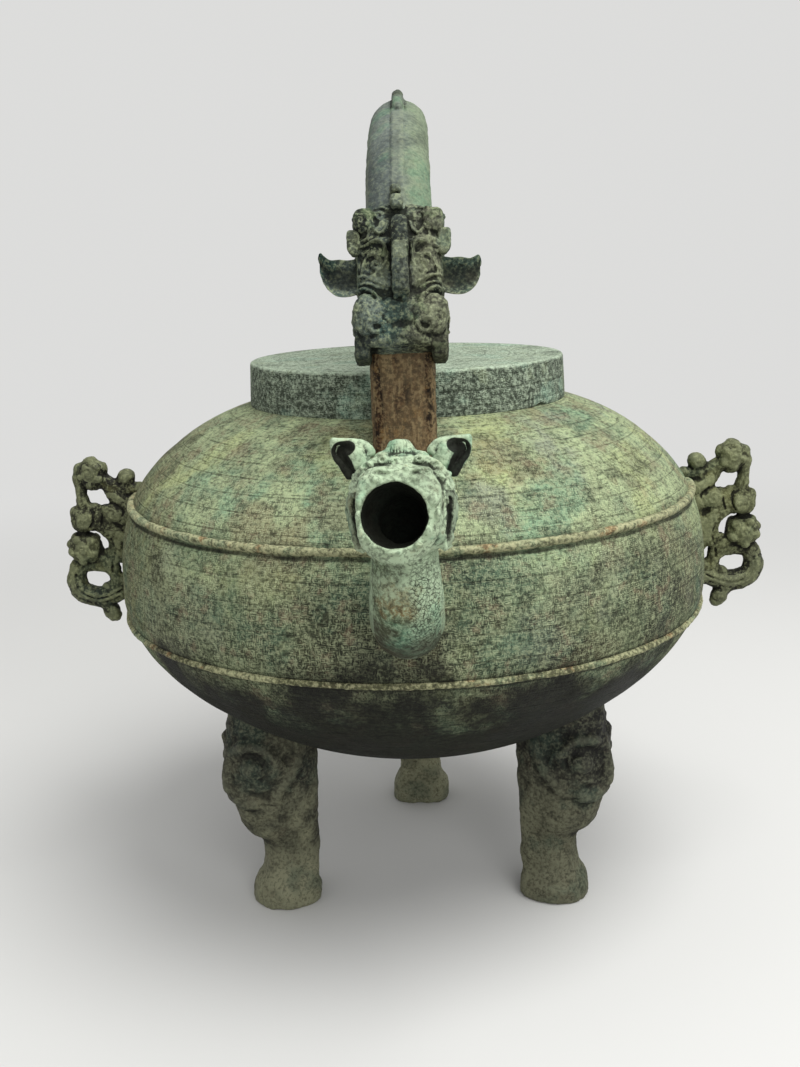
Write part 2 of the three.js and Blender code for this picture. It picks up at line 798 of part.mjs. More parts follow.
// In the leg's own frame +X looks out from the vessel's axis.
function legForm() {
  const rings = [];
  const paw = { middle: legBack + pawSetting, depth: pawDepth, width: pawWidth };
  const shank = { middle: legBack + shankDepth / 2, depth: shankDepth, width: shankWidth };
  const mask = { middle: legBack + maskDepth / 2, depth: maskDepth, width: maskWidth };
  const maskRise = maskHeight - shankTop;
  const hidden = widestHeight - maskHeight;
  const stations = [
    // height, form, shift of its middle, half depth and half width as shares of that form's
    [0, paw, 0, 0.47, 0.47],
    [0.11 * pawHeight, paw, 0, 0.5, 0.5],
    [0.62 * pawHeight, paw, 0, 0.5, 0.49],
    [pawHeight, paw, -0.016, 0.46, 0.41],
    [1.38 * pawHeight, shank, 0, 0.487, 0.54],
    [0.82 * shankTop, shank, 0, 0.478, 0.52],
    [shankTop, shank, 0.044, 0.531, 0.56],
    [shankTop + 0.19 * maskRise, mask, -0.073, 0.42, 0.43],
    [shankTop + 0.586 * maskRise, mask, -0.028, 0.47, 0.48],
    [maskHeight, mask, 0, 0.5, 0.5],
    [maskHeight + 0.214 * hidden, mask, -0.017, 0.48, 0.49],
    [maskHeight + 0.6 * hidden, mask, -0.045, 0.44, 0.46],
  ];
  for (const [height, form, shift, halfDepth, halfWidth] of stations) {
    const ring = [];
    for (let n = 0; n < 12; n++) {
      const angle = (2 * Math.PI * n) / 12;
      const corner = Math.cos(angle) < 0 ? 0.7 : 0.95;
      const out = Math.sign(Math.cos(angle)) * Math.abs(Math.cos(angle)) ** corner;
      const x = form.middle + form.depth * (shift + halfDepth * out);
      ring.push(new THREE.Vector3(x, form.width * halfWidth * Math.sin(angle), height));
    }
    rings.push(ring);
  }
  return loft(rings);
}

// The mask's features, from the front of the mask at its own height.
const maskDrawn = 26; // width that they are drawn for

function maskFeatures() {
  const sideways = (points) => [points, points.map(([x, y, ...rest]) => [x, -y, ...rest])];
  const eyes = [-1, 1].map((side) => ball(-3.4, 6.6 * side, 6, 3.6, 3.4, 3.4));
  const brows = sideways([
    [-1.2, 1.6, 9, 1.8],
    [-2.6, 7, 12.5, 2.2],
    [-9, 11.6, 11, 2.3],
    [-14, 12.4, 5, 2],
  ]).map((points) => limb(points, { steps: 4 }));
  const nose = limb([[-1.4, 0, 12, 2], [0.2, 0, 3, 2.3], [-0.2, 0, -5, 3.4]]);
  const muzzle = limb([[-6, -8, -8.6, 3.2], [-2.6, 0, -8, 4], [-6, 8, -8.6, 3.2]]);
  const curls = sideways([
    [-15.5, 12, -6, 2.2],
    [-21.5, 12.4, 2, 2.6],
    [-26.5, 10.8, 10, 2.4],
  ]).map((points) => limb(points, { steps: 3 }));
  const size = maskWidth / maskDrawn;
  return join(nose, muzzle, ...eyes, ...brows, ...curls)
    .scale([size, size, size])
    .translate([legBack + maskDepth, 0, maskHeight]);
}

function leg() {
  const back = legBack - 0.11 * channelWidth;
  const hollow = limb(
    [
      [back, 0, 0.76 * pawHeight, 0.49 * channelWidth],
      [back, 0, 1.07 * shankTop, 0.51 * channelWidth],
      [back, 0, 1.07 * maskHeight, 0.6 * channelWidth],
    ],
    { steps: 4, flat: [0.9, 1, 1] },
  );
  const whole = join(legForm(), maskFeatures());
  return cut(whole, hollow, vesselOutside(jointGap), legTenon(0, jointGap));
}

// Fins

// Bars of the openwork as [out from the widest circle, up from the fin's foot, half thickness],
// drawn on a fin of these sizes.
const finDrawnHeight = 64;
const finDrawnReach = 24;
const finBars = [
  // the ball by the shoulder, the first dragon's throat and its head
  [[-4, 53, 3.8], [3.5, 52.4, 3], [11, 52.6, 2.8], [16, 54.6, 3]],
  [[3.6, 59.6, 1.9], [7.4, 57.6, 3.4], [12.4, 58, 4.2], [17, 57, 2.8]],
  [[10.6, 61.4, 2.8], [11.4, 57.6, 3]],
  // its neck and its broad body
  [[16.6, 55.6, 2.8], [18.2, 52, 2.2], [18.2, 48.6, 2.3], [16, 45, 3]],
  [[-4, 42.6, 5.2], [4, 41.4, 5.2], [12, 41.4, 4.9], [18.4, 41, 4.5]],
  // the second dragon's head and throat
  [[20, 39, 3.2], [20.6, 34.6, 2.6], [20.4, 30.8, 4]],
  [[12.4, 29.6, 2.5], [16, 29.6, 3.5], [20.4, 30.4, 3.9], [24, 28, 2.4]],
  // the webs round the small holes beside the vessel
  [[4, 38.6, 3], [6.4, 32, 2.6], [8.6, 27, 2.7], [8.8, 21.4, 2.3], [9.4, 15.4, 2.6]],
  [[10, 37, 2.2], [12.6, 31.6, 1.9], [11.4, 26.4, 2.7]],
  [[-4, 30.4, 3], [3, 29, 2.6], [8, 27, 2.6]],
  // the lower coil
  [[9, 25.6, 2.6], [15, 25.4, 2.5], [21, 24.8, 2.7], [24, 20.8, 2.9]],
  [[24, 20.8, 2.9], [23.4, 15.6, 3.3], [19.4, 11.4, 3.6], [14, 9.6, 2.9]],
  [[-4, 15, 3.6], [3, 13.6, 3.4], [10, 13.6, 3.1], [15.6, 12, 3]],
  // the tail and its curl
  [[8.4, 12.4, 2.8], [6.4, 8, 2.3], [6.6, 4.6, 2.2], [9, 2.6, 2.2], [11.6, 3.4, 1.9]],
];

function fin() {
  const tall = finHeight / finDrawnHeight;
  const wide = finReach / finDrawnReach;
  const placed = ([out, up, half]) => [
    bodyRadius + out * wide,
    0,
    finFoot + up * tall,
    half * tall * finFullness,
  ];
  const bars = finBars.map((points) =>
    limb(points.map(placed), { steps: points.length - 1, flat: [1, finThickness, 1] }),
  );
  const tenons = finTenonHeights.map((height) => finTenon(0, finFoot + height, jointGap));
  return cut(join(...bars), vesselOutside(jointGap), ...tenons);
}

// The assembled vessel

const finishes = {
  vessel_patina: { color: 0x6f7f5c, roughness: 0.82, metalness: 0.25 },
  lid_patina: { color: 0x6d8268, roughness: 0.82, metalness: 0.25 },
  dragon_patina: { color: 0x5d6d58, roughness: 0.8, metalness: 0.3 },
  post_bronze: { color: 0x6e5234, roughness: 0.7, metalness: 0.45 },
  spout_patina: { color: 0x7f967a, roughness: 0.82, metalness: 0.25 },
  leg_patina: { color: 0x5f6450, roughness: 0.85, metalness: 0.25 },
  fin_patina: { color: 0x56583f, roughness: 0.8, metalness: 0.3 },
};

function piece(name, made, finish, place) {
  const material = new THREE.MeshStandardMaterial(finishes[finish]);
  material.name = finish;
  const mesh = new THREE.Mesh(made.isBufferGeometry ? made : geometryOf(made), material);
  mesh.name = name;
  if (place) mesh.applyMatrix4(place);
  return mesh;
}

const vessel = new THREE.Group();
vessel.add(piece("body_shell", bodyShell(), "vessel_patina"));

const lid = new THREE.Group();
lid.add(piece("lid_shell", lidShell(), "lid_patina"));
lid.add(piece("lid_loop", lidLoop(), "lid_patina"));
lid.add(piece("lid_ring", lidRing(), "lid_patina"));
vessel.add(lid);

const handle = new THREE.Group();
handle.add(piece("handle_post", handlePost(), "post_bronze"));
handle.add(piece("handle_arch", handleArch(), "dragon_patina"));
const head = new THREE.Group();
head.applyMatrix4(headPlace);
head.add(piece("handle_head", handleHead(), "dragon_patina"));
const hornGeometry = geometryOf(horn());
for (const [side, name] of [[-1, "left"], [1, "right"]]) {
  head.add(piece(`handle_ear_${name}`, ear(side), "dragon_patina", earPlace(side)));
  head.add(piece(`handle_horn_${name}`, hornGeometry, "dragon_patina", hornPlace(side)));
}
handle.add(head);
vessel.add(handle);

const spout = new THREE.Group();
spout.add(piece("spout_neck", spoutNeck(), "spout_patina"));
const spoutHeadGroup = new THREE.Group();
spoutHeadGroup.applyMatrix4(spoutHeadPlace);
spoutHeadGroup.add(piece("spout_head", spoutHead(), "spout_patina"));
for (const [side, name] of [[-1, "left"], [1, "right"]]) {
  spoutHeadGroup.add(piece(`spout_ear_${name}`, spoutEar(side), "spout_patina", spoutEarPlace(side)));
}
spout.add(spoutHeadGroup);
vessel.add(spout);

const legGeometry = geometryOf(leg());
for (const [name, degrees] of Object.entries(legAngles)) {
  vessel.add(piece(name, legGeometry, "leg_patina", placing(0, 0, 0, 0, 0, degrees)));
}

const finGeometry = geometryOf(fin());
for (const [name, degrees] of Object.entries(finAngles)) {
  vessel.add(piece(name, finGeometry, "fin_patina", placing(0, 0, 0, 0, 0, degrees)));
}

// The part's origin is on the floor, under the middle of the whole outline.
const reach = new THREE.Box3().setFromObject(vessel);
vessel.position.y = -(reach.min.y + reach.max.y) / 2;
const part = new THREE.Group();
part.add(vessel);

export default part;
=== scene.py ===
"""Builds the looks of the bronze he: its patinated surfaces, a plain floor, soft light and the camera.

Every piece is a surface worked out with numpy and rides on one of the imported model's bodies. Shapes
are drawn in millimetres from the vessel's own axis and made metres of the frame at the end.
"""

import math

import bpy
import numpy as np
from bpy.props import FloatProperty, FloatVectorProperty
from mathutils import Matrix, Vector


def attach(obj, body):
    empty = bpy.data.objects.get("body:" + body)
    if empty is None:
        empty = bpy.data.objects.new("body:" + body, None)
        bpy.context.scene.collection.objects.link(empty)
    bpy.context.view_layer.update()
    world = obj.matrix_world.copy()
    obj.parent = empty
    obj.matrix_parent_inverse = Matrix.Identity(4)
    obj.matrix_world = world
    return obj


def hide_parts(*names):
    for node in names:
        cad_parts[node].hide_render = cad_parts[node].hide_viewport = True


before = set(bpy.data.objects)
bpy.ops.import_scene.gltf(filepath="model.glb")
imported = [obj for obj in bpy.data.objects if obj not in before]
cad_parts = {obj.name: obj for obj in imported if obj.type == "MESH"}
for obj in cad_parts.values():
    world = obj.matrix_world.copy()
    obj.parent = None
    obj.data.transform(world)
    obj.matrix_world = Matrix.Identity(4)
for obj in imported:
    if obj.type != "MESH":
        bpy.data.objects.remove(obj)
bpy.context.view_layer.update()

bl_info = {
    "name": "Bronze He Vessel",
    "version": (1, 0, 0),
    "blender": (4, 5, 0),
    "location": "3D View > Sidebar > He",
    "description": "Dresses the packed he vessel in patinated bronze",
    "category": "Object",
}

MM = 0.001
AXIS_Y = 0.008378  # the vessel's axis in the frame, in metres

# Sizes and colours that a user would change


class HeSizes(bpy.types.PropertyGroup):
    """Sizes of the vessel that its surfaces are drawn from."""

    belly_radius: FloatProperty(
        name="Belly radius", description="Widest radius of the vessel", default=0.115, unit="LENGTH"
    )
    line_gap: FloatProperty(
        name="Line gap",
        description="Distance between the lines of the cast pattern",
        default=0.0008,
        unit="LENGTH",
    )


class HeColours(bpy.types.PropertyGroup):
    """Main colours of the patina, as they look on the screen."""

    patina_green: FloatVectorProperty(
        name="Patina green",
        description="The yellowish green of the shoulder",
        default=(0.68, 0.74, 0.57),
        subtype="COLOR_GAMMA",
    )
    patina_teal: FloatVectorProperty(
        name="Patina teal",
        description="Blue-green patches",
        default=(0.27, 0.39, 0.32),
        subtype="COLOR_GAMMA",
    )
    bare_brown: FloatVectorProperty(
        name="Bare brown",
        description="Bronze where the patina is thin",
        default=(0.225, 0.17, 0.12),
        subtype="COLOR_GAMMA",
    )


# Materials


class Wire:
    """An output socket of a material's nodes. Arithmetic on it adds the Math nodes it needs."""

    def __init__(self, tree, socket=None):
        self.tree = tree
        self.socket = socket

    def node(self, kind, settings=None, sockets=None, output=None):
        """A node of that type: its settings are set first, then its sockets' values or links.

        The new wire comes from the output of that name, or else from the node's first output.
        """
        made = self.tree.nodes.new("ShaderNode" + kind)
        for name, value in (settings or {}).items():
            setattr(made, name, value)
        for key, value in (sockets or {}).items():
            socket = next(s for s in made.inputs if s.enabled and key in (s.name, s.identifier))
            if isinstance(value, Wire):
                self.tree.links.new(value.socket, socket)
            else:
                socket.default_value = value
        if output is None:
            return Wire(self.tree, next(s for s in made.outputs if s.enabled))
        return Wire(self.tree, made.outputs[output])

    def math(self, operation, *values):
        """A Math node of that operation on one or two values."""
        return self.node("Math", {"operation": operation}, dict(zip(("Value", "Value_001"), values)))

    def __add__(self, other):
        return self.math("ADD", self, other)

    def __sub__(self, other):
        return self.math("SUBTRACT", self, other)

    def __mul__(self, other):
        return self.math("MULTIPLY", self, other)

    def __radd__(self, other):
        return self.math("ADD", other, self)

    def __rsub__(self, other):
        return self.math("SUBTRACT", other, self)

    def __rmul__(self, other):
        return self.math("MULTIPLY", other, self)

    def step(self, low, high):
        """0 below low, 1 above high and smooth between; a low above high turns it round."""
        sockets = {"Value": self, "From Min": low, "From Max": high}
        return self.node("MapRange", {"interpolation_type": "SMOOTHSTEP"}, sockets)


def blank(owner):
    """A wire into the emptied node tree of a material or a world."""
    owner.use_nodes = True
    owner.node_tree.nodes.clear()
    return Wire(owner.node_tree)


def show(surface, kind):
    """Links a surface to the output of its tree, whose kind is Material or World."""
    output = surface.tree.nodes.new("ShaderNodeOutput" + kind)
    surface.tree.links.new(surface.socket, output.inputs["Surface"])


def linear(colour):
    """A screen colour as the light values that a shader takes."""
    shown = np.array(colour[:3], float)
    light = np.where(shown <= 0.04045, shown / 12.92, ((shown + 0.055) / 1.055) ** 2.4)
    return (*light.tolist(), 1.0)


def mottle(place, size, detail, roughness, shift=(0, 0, 0), squash=(1, 1, 1)):
    """Noise with clumps of about that size in metres; a squash below 1 draws them out that way."""
    moved = place.node("Mapping", {}, {"Vector": place, "Location": shift, "Scale": squash})
    sockets = {"Vector": moved, "Scale": 0.5 / size, "Detail": detail, "Roughness": roughness}
    return place.node("TexNoise", {}, sockets)


def blend(mask, under, over):
    """The under colour where mask is 0 and the over colour where it is 1."""
    settings = {"data_type": "RGBA", "clamp_factor": True}
    return mask.node("Mix", settings, {"Factor": mask, "A": under, "B": over})


def axes_of(place, names):
    """The named coordinates of a place."""
    return [place.node("SeparateXYZ", {}, {"Vector": place}, axis) for axis in names]


def unrolled(place, widest):
    """The skin of a turned form laid flat: angle times radius across, and up it height plus radius.

    Above the widest circle the radius shrinks as the skin goes up, and below it the other way, so
    (R - r) is added above and taken off below.
    """
    radius = bpy.context.scene.he_sizes.belly_radius
    x, y, z = axes_of(place, "XYZ")
    y = y - AXIS_Y
    angle = x.math("ARCTAN2", x, 0 - y)
    reach = x.math("SQRT", x * x + y * y)
    side = z.math("SIGN", z - widest * MM)
    return angle * radius, z + (radius - reach) * side


FRET_RINGS = 4  # raised lines across one cell of the fret, from side to side
RULE_GAP = 0.0048  # half the distance between the wall's level rules, in metres


def fret(place, across, up, gap):
    """Nested squares in cells of uneven size, as worn cast interlace looks: 1 on a raised line."""
    stray = mottle(place, 0.0022, 3.0, 0.6, (0.3, 0.9, 0.2)) - 0.5
    bent = {"X": across + stray * 0.0034, "Y": up * 1.15 + stray * 0.0024}
    flat = place.node("CombineXYZ", {}, bent)
    cells = place.node(
        "TexVoronoi",
        {"voronoi_dimensions": "2D", "distance": "CHEBYCHEV"},
        {"Vector": flat, "Scale": 0.25 / gap, "Randomness": 0.85},
    )
    rings = cells.math("SINE", cells * (2 * math.pi * FRET_RINGS))
    return rings.step(-0.25, 0.55)


def crackle(place, size, width=0.07):
    """Thin cracks between grains of about that size: 1 on a crack."""
    stray = (mottle(place, 0.004, 3.0, 0.6, (0.3, 0.9, 0.2)) - 0.5) * 0.003
    moved = place.node("VectorMath", {"operation": "ADD"}, {"Vector": place, "Vector_001": stray})
    sockets = {"Vector": moved, "Scale": 1 / size}
    edge = place.node("TexVoronoi", {"feature": "DISTANCE_TO_EDGE"}, sockets)
    return edge.step(width, width * 0.2)


def cast_lines(place, look, patches, blots, height):
    """Layers and height of the wall's cast pattern: its fret, its level rules and its dashes."""
    across, up = unrolled(place, look["fret"])
    lines = fret(place, across, up, bpy.context.scene.he_sizes.line_gap)
    kept = blots.step(0.36, 0.58) * 0.8 + 0.2
    rule = up.math("PINGPONG", up, RULE_GAP)
    flat = place.node("CombineXYZ", {}, {"X": across, "Y": up * 6.0})
    dashes = mottle(flat, 0.0042, 5.0, 0.68)
    layers = [
        ((1 - lines) * kept * 0.5, "dark"),
        (lines * kept * 0.4, "pale"),
        (rule.step(0.0005, 0.0001) * patches.step(0.44, 0.54) * 0.45, "deep"),
        (dashes.step(0.47, 0.36) * look["dashes"], "deep"),
        (dashes.step(0.55, 0.68) * look["dashes"] * 0.7, "pale"),
    ]
    return layers, height + lines * 0.8 - rule.step(0.0006, 0.0002) * 0.5 + dashes * 0.7


# Noises that every look shares: size of the clumps in metres, detail, roughness, shift
NOISES = (
    (0.028, 5.0, 0.62, (0, 0, 0)),  # clouds
    (0.011, 5.0, 0.62, (3.1, 1.7, 0.4)),  # patches
    (0.0048, 4.0, 0.65, (1.1, 6.7, 3.4)),  # blots
    (0.0012, 4.0, 0.7, (0.5, 4.1, 2.2)),  # grain
    (0.0006, 2.0, 0.6, (7.3, 0.2, 5.5)),  # fine grain
)


def patina(name):
    """Corroded bronze: clouds of green, teal and brown, grain, dark hollows and paler edges.

    Each layer is a mask and the tone that is laid over the layers before it. A mask is a noise or
    a height, made a smooth step between two limits, times the share of the tone.
    """
    look = LOOKS[name]
    material = bpy.data.materials.new("aged_" + name)
    start = blank(material)
    place = start.node("TexCoord", output="Object")
    wear = start.node("Attribute", {"attribute_name": "wear"}, output="Fac")
    side, level = axes_of(place, "XZ")
    clouds, patches, blots, grain, fine = (mottle(place, *noise) for noise in NOISES)

    layers = [(clouds.step(0.40, 0.60), "light")]
    for low, high, tone, share in look.get("bands", ()):
        reach = level + side * look.get("lean", 0) + (clouds - 0.5) * look.get("stray", 0.05)
        layers.append((reach.step(low, high) * share, tone))
    for low, high, tone, share in look.get("sides", ()):
        reach = side + (patches - 0.5) * (2 * abs(high - low))
        layers.append((reach.step(low, high) * share, tone))
    for number, (size, tone, share) in enumerate(look.get("spots", ())):
        spots = mottle(place, size, 4.0, 0.6, (2.3 * number, 5.1, 1.9 * number))
        spotted = level.step(*look.get("spotted", (0.146, 0.168))) * 0.7 + 0.3
        layers.append((spots.step(0.53, 0.62) * spotted * share, tone))
    layers.append((patches.step(0.52, 0.64) * look["teal"], "teal"))
    layers.append((patches.step(0.48, 0.34) * look.get("patched", 0.7), "dark"))

    height = grain * 0.6 + fine * 0.35
    if "fret" in look:
        lines, height = cast_lines(place, look, patches, blots, height)
        layers += lines
    if "cracks" in look:
        cracks = crackle(place, look["cracks"])
        kept = clouds.step(0.30, 0.42) * level.step(0.172, 0.164)
        kept = kept * (side + patches * 0.006).step(0.003, 0.006)
        layers.append((cracks * kept * (blots.step(0.40, 0.56) * 0.5 + 0.35), "deep"))
        layers.append(((1 - cracks) * kept * 0.4, "pale"))
        height = height - cracks * kept * 1.2
    if "run" in look:
        run = mottle(place, look["run"], 4.0, 0.6, (2.0, 0.7, 0.1), (1, 1, 0.16))
        layers.append((run.step(0.52, 0.62) * 0.8, "pale"))
        layers.append((run.step(0.48, 0.36) * 0.85, "deep"))
        height = height + run * 0.5

    layers.append((blots.step(0.56, 0.66) * look["specks"], "speck"))
    layers.append((grain.step(0.54, 0.62) * look["grain"], "pale"))
    layers.append((grain.step(0.46, 0.37) * look["grain"] * 1.3, "deep"))
    layers.append((fine.step(0.48, 0.41) * look["grain"] * 1.3, "deep"))
    layers.append((fine.step(0.53, 0.61) * look["grain"], "pale"))
    if "under" in look:
        low, high, share = look["under"]
        reach = level + (clouds - 0.5) * 0.06 + (patches - 0.5) * 0.05
        layers.append((reach.step(low, high) * share, "low"))
    # Painted shadow: a dark line at each of these heights, just under the cords.
    for shadow_height in look.get("shadows", ()):
        away = level.math("ABSOLUTE", level + (patches - 0.5) * 0.002 - shadow_height * MM)
        uneven = patches.step(0.40, 0.6) * 0.45 + 0.3
        layers.append((away.step(0.0010, 0.0003) * uneven, "deep"))
    # Dark hollows: the patina in the hollows, and painted shade where a piece's wear map is nought or
    # lowered, as in bores, mouths, ear cups and beside the cords.
    layers.append((wear.step(0.40, 0.05) * look["hollow"], "deep"))
    rubbed = wear.step(0.68, 1.0) * (blots.step(0.34, 0.5) * 0.7 + 0.3)
    layers.append((rubbed * look["edge"], "pale"))

    colour = shade(look, "main")
    for mask, tone in layers:
        colour = blend(mask, colour, shade(look, tone))
    rough = 0.62 + 0.28 * clouds.step(0.35, 0.6) - 0.12 * wear.step(0.6, 0.95)
    normal = start.node("Bump", {}, {"Strength": 0.9, "Distance": 0.0007, "Height": height})
    sockets = {"Base Color": colour, "Roughness": rough, "Normal": normal, "Metallic": 0.1}
    shader = start.node("BsdfPrincipled", {}, {**sockets, "Specular IOR Level": 0.15})
    show(shader, "Material")
    return material


def shade(look, tone):
    """A tone of a look, or the user's colour that the look names for it."""
    colour = look["colours"][tone]
    if isinstance(colour, str):
        colour = getattr(bpy.context.scene.he_colours, colour)
    return linear(colour)


def finish_of(name):
    """The material of that look, made once."""
    return bpy.data.materials.get("aged_" + name) or patina(name)


# What a look may hold, with heights and sizes in metres where nothing else is said:
# dashes, teal, patched, specks, grain, hollow and edge: shares of those layers
# bands: (from, to, tone, share) up Z, which lean tilts along X and stray makes uneven
# sides: (from, to, tone, share) along X
# spots: (size, tone, share), from 0.3 of it at the first height of spotted to all of it at the second
# under: (from, to, share) of the low tone
# fret: a height in mm over which radii shrink, needed to unroll the cast pattern
# cracks: size of the cracked grains; run: size of the streaks that run down
# shadows: heights in mm of the painted shadow lines just under the cords

LOOKS = {
    "vessel_patina": dict(
        fret=127.0, dashes=0.6, teal=0.6, specks=0.4, grain=0.32, hollow=0.85, edge=0.5,
        lean=0.05, stray=0.03,
        sides=((-0.072, -0.102, "khaki", 0.85),),
        # Painted light and shade: the bands make the shoulder lighter, its yellow-green patina with
        # painted top light, and the lower side darker, partly its patina and partly painted shade; under
        # lays the low tone on the belly, its darker patina with painted shade below it.
        bands=((0.149, 0.167, "light", 1.0), (0.156, 0.130, "dark", 0.65)),
        spots=(
            (0.018, "yellow", 0.75), (0.022, "mint", 0.8), (0.026, "grey", 0.8), (0.012, "rust", 0.45),
        ),
        # Painted shadow: shadows puts a dark line just under each cord.
        shadows=(158.9, 116.4), under=(0.122, 0.102, 0.93),
        colours=dict(
            main=(0.27, 0.295, 0.215), light="patina_green", teal="patina_teal",
            dark=(0.16, 0.17, 0.125), deep=(0.09, 0.09, 0.065), pale=(0.64, 0.67, 0.53),
            speck=(0.52, 0.44, 0.36), low=(0.08, 0.08, 0.07), khaki=(0.36, 0.35, 0.21),
            yellow=(0.70, 0.74, 0.52), mint=(0.50, 0.64, 0.52), grey=(0.55, 0.58, 0.52),
            rust=(0.52, 0.40, 0.30),
        ),
    ),
    "cord": dict(
        teal=0.6, specks=0.8, grain=0.4, hollow=0.85, edge=0.25,
        bands=((0.150, 0.156, "light", 0.8),),
        colours=dict(
            main=(0.37, 0.375, 0.27), light=(0.55, 0.56, 0.43), teal=(0.36, 0.45, 0.36),
            dark=(0.24, 0.235, 0.17), deep=(0.12, 0.11, 0.08), pale=(0.68, 0.67, 0.53),
            speck=(0.52, 0.42, 0.29),
        ),
    ),
    "lid_patina": dict(
        fret=150.0, dashes=0.5, stray=0.004, teal=0.7, specks=0.3, grain=0.35, hollow=0.85, edge=0.7,
        # The band darkens the skirt below the plate: its darker patina, with painted shade on the lid's
        # side.
        bands=((0.2128, 0.2118, "low", 0.9),),
        colours=dict(
            main=(0.67, 0.735, 0.64), light=(0.74, 0.80, 0.71), teal=(0.56, 0.69, 0.61),
            dark=(0.22, 0.26, 0.21), deep=(0.10, 0.12, 0.09), pale=(0.74, 0.80, 0.70),
            speck=(0.58, 0.62, 0.48), low=(0.20, 0.225, 0.185),
        ),
    ),
    "dragon_patina": dict(
        teal=0.65, specks=0.5, grain=0.36, hollow=0.88, edge=0.2, lean=1.0, patched=0.9,
        # The right side is warmer and lighter, its olive patina with painted light from the right, and
        # the band, leant by lean, lightens the top towards the right: painted light from above on the
        # right.
        sides=((-0.003, 0.009, "warm", 0.6),), bands=((0.256, 0.280, "light", 0.8),),
        colours=dict(
            warm=(0.35, 0.34, 0.25),
            main=(0.15, 0.18, 0.165), light=(0.35, 0.39, 0.36), teal=(0.14, 0.25, 0.23),
            dark=(0.085, 0.10, 0.08), deep=(0.04, 0.045, 0.035), pale=(0.56, 0.59, 0.46),
            speck=(0.40, 0.46, 0.33),
        ),
    ),
    "dragon_back": dict(
        teal=0.5, specks=0.2, grain=0.14, hollow=0.9, edge=0.15, stray=0.004, patched=0.5,
        # The right side is warmer and lighter and the left side darker: their patina, with painted light
        # on the right and painted shade on the left.
        sides=((-0.003, 0.008, "warm", 0.75), (-0.007, -0.012, "dark", 0.5)),
        bands=((0.3068, 0.3078, "dark", 0.85),),
        colours=dict(
            warm=(0.44, 0.49, 0.39),
            main=(0.29, 0.32, 0.31), light=(0.37, 0.40, 0.38), teal=(0.33, 0.46, 0.37),
            dark=(0.14, 0.16, 0.14), deep=(0.06, 0.065, 0.05), pale=(0.56, 0.59, 0.46),
            speck=(0.40, 0.46, 0.33),
        ),
    ),
    "post_bronze": dict(
        run=0.0011, teal=0.2, specks=0.85, patched=0.85, grain=0.5, hollow=0.6, edge=0.3,
        sides=((0.0065, 0.0105, "pale", 0.45),),
        colours=dict(
            main="bare_brown", light=(0.29, 0.215, 0.14), teal=(0.22, 0.20, 0.14),
            dark=(0.10, 0.078, 0.06), deep=(0.055, 0.042, 0.032), pale=(0.46, 0.40, 0.29),
            speck=(0.42, 0.32, 0.18),
        ),
    ),
    "spout_patina": dict(
        cracks=0.0012, teal=0.75, specks=0.4, grain=0.34, hollow=0.97, edge=0.35, patched=0.6,
        bands=((0.162, 0.172, "light", 0.95), (0.146, 0.128, "dark", 0.7)),
        spots=((0.009, "rust", 0.8),), spotted=(0.158, 0.150), under=(0.152, 0.131, 0.85),
        colours=dict(
            main=(0.33, 0.375, 0.275), light=(0.62, 0.68, 0.57), teal=(0.38, 0.54, 0.44),
            dark=(0.18, 0.19, 0.135), deep=(0.045, 0.038, 0.028), pale=(0.64, 0.72, 0.60),
            speck=(0.50, 0.44, 0.28), rust=(0.44, 0.35, 0.20), low=(0.19, 0.18, 0.13),
        ),
    ),
    "leg_patina": dict(
        teal=0.5, specks=0.3, grain=0.28, hollow=0.7, edge=0.3, patched=0.5,
        sides=((0.02, 0.05, "low", 0.6),),
        bands=((0.030, 0.006, "light", 0.75), (0.040, 0.066, "low", 0.7)),
        colours=dict(
            main=(0.18, 0.18, 0.15), light=(0.53, 0.53, 0.43), teal=(0.20, 0.26, 0.22),
            dark=(0.115, 0.11, 0.095), deep=(0.05, 0.045, 0.04), pale=(0.42, 0.43, 0.35),
            speck=(0.33, 0.31, 0.25), low=(0.125, 0.125, 0.115),
        ),
    ),
    "fin_patina": dict(
        teal=0.45, specks=0.45, grain=0.3, hollow=0.9, edge=0.35, patched=0.8,
        colours=dict(
            main=(0.12, 0.12, 0.10), light=(0.32, 0.33, 0.23), teal=(0.19, 0.25, 0.21),
            dark=(0.105, 0.10, 0.08), deep=(0.05, 0.045, 0.035), pale=(0.54, 0.56, 0.42),
            speck=(0.38, 0.38, 0.24),
        ),
    ),
}


# Surfaces: points in millimetres from the vessel's own axis, turned into metres of the frame


def metres(points):
    """Millimetres from the vessel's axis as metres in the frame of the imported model."""
    return np.asarray(points, float) * MM + np.array([0, AXIS_Y, 0])


def make_piece(name, slot, points, faces, wear, replaced=(), look=None, body="vessel"):
    """A mesh of those points and faces in the finish of its look or slot, riding on its body."""
    faces = outward(points, faces)
    mesh = bpy.data.meshes.new(name)
    mesh.from_pydata(metres(points), [], [face for group in faces for face in group.tolist()])
    mesh.polygons.foreach_set("use_smooth", np.ones(len(mesh.polygons), bool))
    mesh.attributes.new("wear", "FLOAT", "POINT").data.foreach_set("value", wear)
    mesh.materials.append(finish_of(look or slot))
    mesh.update()
    piece = bpy.data.objects.new(name, mesh)
    bpy.context.scene.collection.objects.link(piece)
    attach(piece, body)
    if replaced:
        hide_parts(*replaced)


def outward(points, faces):
    """The faces turned round where the volume that they enclose comes out negative."""
    total = 0.0
    for group in faces:
        corners = [points[group[:, k]] for k in range(group.shape[1])]
        for k in range(1, len(corners) - 1):
            total += np.einsum("ij,ij->", corners[0], np.cross(corners[k], corners[k + 1]))
    return faces if total > 0 else [group[:, ::-1] for group in faces]


